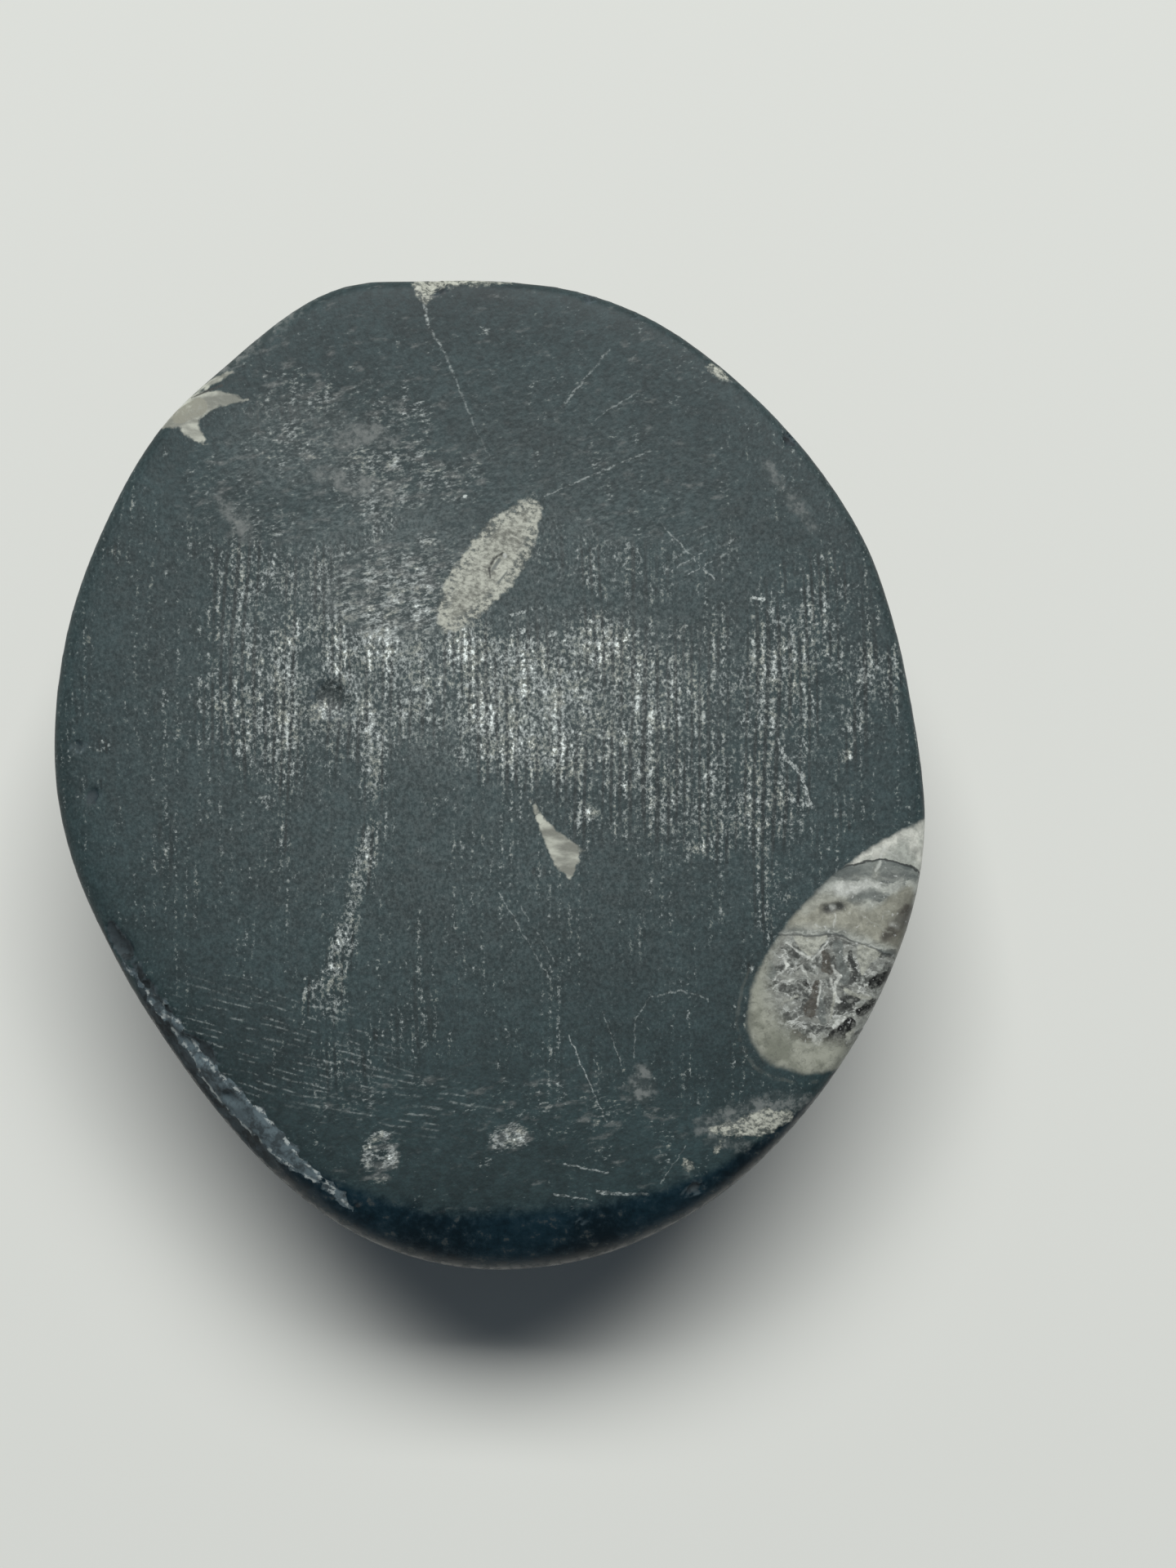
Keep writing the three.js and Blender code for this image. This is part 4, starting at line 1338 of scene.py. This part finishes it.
class Carving:
    """The stone's points in millimetres while its surface is worked."""

    def __init__(self, mesh, seed):
        self.mesh = mesh
        self.random = np.random.default_rng(seed)
        self.points = np.empty(len(mesh.vertices) * 3)
        mesh.vertices.foreach_get("co", self.points)
        self.points = self.points.reshape(-1, 3) / MM
        edges = np.empty(len(mesh.edges) * 2, dtype=np.int32)
        mesh.edges.foreach_get("vertices", edges)
        self.edges = edges.reshape(-1, 2)
        self.neighbours = np.bincount(self.edges.ravel(), minlength=len(self.points))[:, None]
        self.broken = np.zeros(len(self.points))

    def average(self, values):
        """Each point's mean of its neighbours' values."""
        total = np.zeros_like(values)
        np.add.at(total, self.edges[:, 0], values[self.edges[:, 1]])
        np.add.at(total, self.edges[:, 1], values[self.edges[:, 0]])
        return total / (self.neighbours if values.ndim > 1 else self.neighbours[:, 0])

    def smooth(self, times):
        """Draws each point halfway to the mean of its neighbours, as often as times says."""
        for _ in range(times):
            self.points += 0.5 * (self.average(self.points) - self.points)

    def store(self):
        self.mesh.vertices.foreach_set("co", (self.points * MM).ravel())
        self.mesh.update()

    def normals(self):
        """The direction that the surface faces at each point."""
        self.store()
        found = np.empty(len(self.points) * 3)
        self.mesh.vertices.foreach_get("normal", found)
        return found.reshape(-1, 3)

    def lay_breaks(self):
        """Lays what stands proud of each flat break onto it."""
        for place, facing, up in BREAKS:
            compass, tilt = math.radians(facing), math.radians(up)
            normal = np.array([
                math.cos(compass) * math.cos(tilt), math.sin(compass) * math.cos(tilt), math.sin(tilt)])
            proud = (self.points - place) @ normal
            self.points -= np.maximum(proud, 0.0)[:, None] * normal
            under = np.abs(np.minimum(proud, 0.0))
            self.broken = np.maximum(self.broken, np.clip(1.0 - under / BREAK_FADE, 0.0, 1.0))

    def scoop(self, centre, half, turn):
        """Lays what is inside an oval scoop onto its wall, and marks it broken."""
        cosine, sine = math.cos(turn), math.sin(turn)
        level = np.array([[cosine, sine, 0.0], [-sine, cosine, 0.0], [0.0, 0.0, 1.0]])
        near = np.flatnonzero(np.abs(self.points - centre).max(axis=1) < max(half))
        away = (self.points[near] - centre) @ level.T / half
        reach = np.linalg.norm(away, axis=1)
        inside = reach < 1.0
        chosen = near[inside]
        onto = away[inside] / np.maximum(reach[inside], 1e-6)[:, None] * half
        self.points[chosen] = centre + onto @ level
        self.broken[chosen] = 1.0

    def rim(self):
        """How far the edge of the sawn face lies from the middle, direction by direction."""
        top = self.points[self.points[:, 2] > FACE_HEIGHT - 0.6]
        angle = np.degrees(np.arctan2(top[:, 1], top[:, 0])) % 360
        reach = np.zeros(round(360 / RIM_STEP))
        step = (angle / RIM_STEP).astype(int) % len(reach)
        np.maximum.at(reach, step, np.hypot(top[:, 0], top[:, 1]))
        return reach

    def nibble_rim(self):
        """Breaks small chips off the edge of the sawn face."""
        reach = self.rim()
        for start, end, count, size in NIBBLED_RIM:
            for angle in self.random.uniform(start, end, count):
                radius = reach[int(angle / RIM_STEP) % len(reach)]
                compass = math.radians(angle)
                scale = size * self.random.lognormal(0.0, 0.35)
                out = radius + scale * self.random.uniform(0.35, 0.75)
                centre = np.array([
                    math.cos(compass) * out, math.sin(compass) * out,
                    FACE_HEIGHT + scale * self.random.uniform(0.05, 0.5)])
                half = np.array([
                    scale * self.random.uniform(0.8, 1.2), scale * self.random.uniform(1.0, 2.2), scale])
                self.scoop(centre, half, compass + self.random.normal(0.0, 0.3))

    def sink_pits(self):
        """Sinks the round hollows of the sawn face."""
        on_top = self.points[:, 2] > FACE_HEIGHT - 1.0
        for (x, y), radius, depth in PITS:
            reach = np.hypot(self.points[:, 0] - x, self.points[:, 1] - y) / radius
            bowl = np.sqrt(np.clip(1.0 - reach**2, 0.0, 1.0)) * on_top
            self.points[:, 2] -= depth * bowl

    def roughen(self, relief):
        """Gives broken rock its ledges and grain."""
        ledge_closeness, dimension, gap, octaves = 0.45, 0.9, 2.1, 4
        grain_closeness, ledge_share, grain_share, sunk = 2.3, 0.7, 0.25, 0.25
        normals = self.normals()
        for index in np.flatnonzero(self.broken > 0.05):
            place = Vector(self.points[index])
            ledges = noise.fractal(place * ledge_closeness, dimension, gap, octaves)
            grain = noise.noise(place * grain_closeness)
            lift = relief * (ledge_share * ledges + grain_share * grain - sunk) * self.broken[index]
            self.points[index] += normals[index] * lift

    def waver(self):
        """Gives the sawn face and the dome the slight unevenness of hand grinding."""
        closeness, height, sunk = 0.11, 0.05, 0.03
        normals = self.normals()
        for index, place in enumerate(self.points):
            swell = noise.noise(Vector(place) * closeness)
            self.points[index] += normals[index] * (height * swell - sunk)

    def bruised(self, normals):
        """Knocked strips along the widest line of the lower rim."""
        fade_in, lowest = 4.0, FACE_HEIGHT - 8.0
        facing, spread, strength = 0.15, 0.22, 1.6
        compass = np.degrees(np.arctan2(self.points[:, 1], self.points[:, 0])) % 360
        along = np.zeros(len(self.points))
        for start, end in BRUISED_RIM:
            inside = np.minimum(compass - start, end - compass)
            along = np.maximum(along, np.clip(inside / fade_in, 0.0, 1.0))
        upright = 1.0 - np.abs(normals[:, 2] - facing) / spread
        return np.clip(upright * strength, 0.0, 1.0) * along * (self.points[:, 2] > lowest)

    def inside_ovals(self, ovals):
        """How deep each point lies in a table of soft ovals, times each oval's own amount."""
        deepest = np.zeros(len(self.points))
        for centre, half, turn, amount in ovals:
            reach = oval_reach(self.points, centre, half, turn)
            share = np.clip((1.0 - reach) / SOFT_EDGE, 0.0, 1.0)
            deepest = np.maximum(deepest, amount * share * share * (3.0 - 2.0 * share))
        return deepest

    def inside_trail(self, trail):
        """How deep each point lies inside a trail of discs, less than 0 outside it."""
        deepest = np.full(len(self.points), -2.0)
        for (x, y, half), (next_x, next_y, next_half) in zip(trail, trail[1:]):
            dx, dy = next_x - x, next_y - y
            from_x, from_y = self.points[:, 0] - x, self.points[:, 1] - y
            share = np.clip((from_x * dx + from_y * dy) / (dx * dx + dy * dy), 0.0, 1.0)
            off = np.hypot(from_x - share * dx, from_y - share * dy)
            deepest = np.maximum(deepest, half + share * (next_half - half) - off)
        return deepest - TRAIL_THINNING * np.maximum(FACE_HEIGHT - self.points[:, 2], 0.0)

    def inside_trails(self, trails):
        """How deep each point lies inside the nearest of a table's trails."""
        return np.max([self.inside_trail(trail) for _, trail in trails], axis=0)

    def finish(self):
        """Keeps the rest spot on the ground and stores the points and the masks."""
        self.points[:, 2] = np.maximum(self.points[:, 2], 0.0)
        normals = self.normals()
        bulge = ((self.points - self.average(self.points)) * normals).sum(axis=1)
        deep = FACE_HEIGHT - self.points[:, 2]
        edge = np.interp(self.points[:, 1], *zip(*MATT_REACH))
        facing_up = np.clip((normals[:, 2] - 0.3) / 0.3, 0.0, 1.0)
        sawn = np.clip((edge + MATT_BORDER - deep) / (2 * MATT_BORDER), 0.0, 1.0) * facing_up
        masks = {
            "sawn": self.average(sawn * (1.0 - self.broken)),
            "broken": self.average(self.broken),
            "worn": np.clip((bulge - WORN_RIDGE) / WORN_RANGE, 0.0, 1.0),
            "bruised": self.bruised(normals),
            "dust": np.maximum(THINNEST_DUST, self.inside_ovals(DUST_AND_SHEEN_OVALS)),
            "dashes": self.inside_ovals(DASHED_OVALS),
            "haze_and_sheen": self.inside_ovals(HAZE_AND_SHEEN_OVALS),
            "dim": self.inside_ovals(DIM_OVALS),
            "sugar": self.inside_trails(SUGARY_TRAILS),
            "spar": self.inside_trails(SMOOTH_TRAILS),
            "stain": self.inside_trails(STAINED_TRAILS),
            "ledge": self.inside_trail(LEDGE_TRAIL),
        }
        for name, values in masks.items():
            layer = self.mesh.attributes.new(name, "FLOAT", "POINT")
            layer.data.foreach_set("value", values.astype(np.float32))
        self.mesh.shade_smooth()

    def zones(self):
        """Which material each face of the mesh takes: 0 sawn face, 1 large shell, 2 dome."""
        middles = np.empty(len(self.mesh.polygons) * 3)
        self.mesh.polygons.foreach_get("center", middles)
        middles = middles.reshape(-1, 3) / MM
        deep = FACE_HEIGHT - middles[:, 2]
        reach = oval_reach(middles, SHELL_CENTRE, SHELL_HALF, SHELL_TURN)
        shell = (reach < SHELL_ZONE) & (deep < SHELL_DEPTH + 1.0)
        return np.where(shell, 1, np.where(deep < FACE_ZONE, 0, 2)).astype(np.int32)


# ---------------------------------------------------------------- operators and panel


class FOSSIL_OT_stone(Operator):
    """Builds the stone's fine surface over its measured solid"""

    bl_idname = "fossil.stone"
    bl_label = "Dress the Stone"

    def execute(self, context):
        sizes = context.scene.fossil_sizes
        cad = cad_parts[NODE]
        mesh = even_mesh(solid_in_quads(cad), sizes.mesh_grain)
        mesh.name = "limestone"
        carving = Carving(mesh, sizes.seed)
        carving.smooth(SMOOTHINGS)
        carving.lay_breaks()
        carving.nibble_rim()
        carving.sink_pits()
        carving.roughen(sizes.break_relief / MM)
        carving.waver()
        carving.finish()
        stone = bpy.data.objects.new("limestone", mesh)
        context.scene.collection.objects.link(stone)
        mesh.materials.clear()
        for material in stone_materials(sizes, context.scene.fossil_colours):
            mesh.materials.append(material)
        mesh.polygons.foreach_set("material_index", carving.zones())
        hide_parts(NODE)
        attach(stone, "root")
        return {"FINISHED"}


class FOSSIL_OT_stage(Operator):
    """Lays the pale floor and sets the soft light and the camera over the stone"""

    bl_idname = "fossil.stage"
    bl_label = "Set the Stage"

    def execute(self, context):
        look = context.scene.fossil_stage
        self.lay_floor(context, look)
        self.hang_light(context, look)
        self.set_sky(context, look)
        self.set_camera(context, look)
        return {"FINISHED"}

    def lay_floor(self, context, look):
        """A round floor in one plain colour."""
        mesh = bpy.data.meshes.new("floor")
        disc = bmesh.new()
        bmesh.ops.create_circle(disc, cap_ends=True, segments=128, radius=look.floor_radius)
        disc.to_mesh(mesh)
        disc.free()
        floor = bpy.data.objects.new("floor", mesh)
        context.scene.collection.objects.link(floor)
        material = bpy.data.materials.new("pale floor")
        material.use_nodes = True
        finish = material.node_tree.nodes["Principled BSDF"]
        finish.inputs["Base Color"].default_value = (*look.floor, 1.0)
        finish.inputs["Roughness"].default_value = ROUGHNESS["floor"]
        finish.inputs["Specular IOR Level"].default_value = 0.2
        mesh.materials.append(material)

    def hang_light(self, context, look):
        """One large soft light, aimed at the middle of the stone."""
        light = bpy.data.lights.new("key", "AREA")
        light.shape = "RECTANGLE"
        light.size = look.key_width
        light.size_y = look.key_depth
        light.energy = look.key_power
        light.color = (1.0, 1.0, 0.985)
        key = bpy.data.objects.new("key", light)
        key.location = look.key_place
        aim = Vector((0.0, 0.0, 0.02)) - key.location
        key.rotation_euler = aim.to_track_quat("-Z", "Y").to_euler()
        context.scene.collection.objects.link(key)

    def set_sky(self, context, look):
        """A dim even sky, which looks pale where the camera sees it."""
        world = bpy.data.worlds.new("soft sky")
        world.use_nodes = True
        world.node_tree.nodes.clear()
        w = Wiring(world.node_tree)
        seen = w.add("ShaderNodeLightPath").outputs["Is Camera Ray"]
        sky = w.add("ShaderNodeBackground")
        w.plug(sky.inputs["Color"], w.mix(seen, SKY_LIGHT, SKY_SEEN))
        w.plug(sky.inputs["Strength"], w.mix(seen, look.sky, SKY_SEEN_STRENGTH))
        w.plug(w.add("ShaderNodeOutputWorld").inputs["Surface"], sky.outputs[0])
        context.scene.world = world

    def set_camera(self, context, look):
        """A camera straight over the stone."""
        lens = bpy.data.cameras.new("overhead")
        lens.lens = 50.0
        lens.sensor_width = 36.0
        lens.clip_start = 0.01
        camera = bpy.data.objects.new("overhead", lens)
        camera.location = look.eye
        context.scene.collection.objects.link(camera)
        context.scene.camera = camera
        context.scene.view_settings.view_transform = "Standard"


class FOSSIL_PT_panel(Panel):
    """Lists the stone's sizes and colours and the buttons that build it"""

    bl_idname = "FOSSIL_PT_panel"
    bl_label = "Fossil Stone"
    bl_space_type = "VIEW_3D"
    bl_region_type = "UI"
    bl_category = "Fossil"

    def draw(self, context):
        scene = context.scene
        for group in (scene.fossil_sizes, scene.fossil_colours, scene.fossil_stage):
            box = self.layout.box()
            for name in group.__annotations__:
                box.prop(group, name)
        for operator in (FOSSIL_OT_stone, FOSSIL_OT_stage):
            self.layout.operator(operator.bl_idname)


CLASSES = (
    FossilSizes, FossilColours, FossilStage, FOSSIL_OT_stone, FOSSIL_OT_stage, FOSSIL_PT_panel,
)


def register():
    for made in CLASSES:
        bpy.utils.register_class(made)
    bpy.types.Scene.fossil_sizes = PointerProperty(type=FossilSizes)
    bpy.types.Scene.fossil_colours = PointerProperty(type=FossilColours)
    bpy.types.Scene.fossil_stage = PointerProperty(type=FossilStage)


def unregister():
    del bpy.types.Scene.fossil_stage
    del bpy.types.Scene.fossil_colours
    del bpy.types.Scene.fossil_sizes
    for made in reversed(CLASSES):
        bpy.utils.unregister_class(made)


def main():
    register()
    bpy.ops.fossil.stone()
    bpy.ops.fossil.stage()


if __name__ == "__main__":
    main()
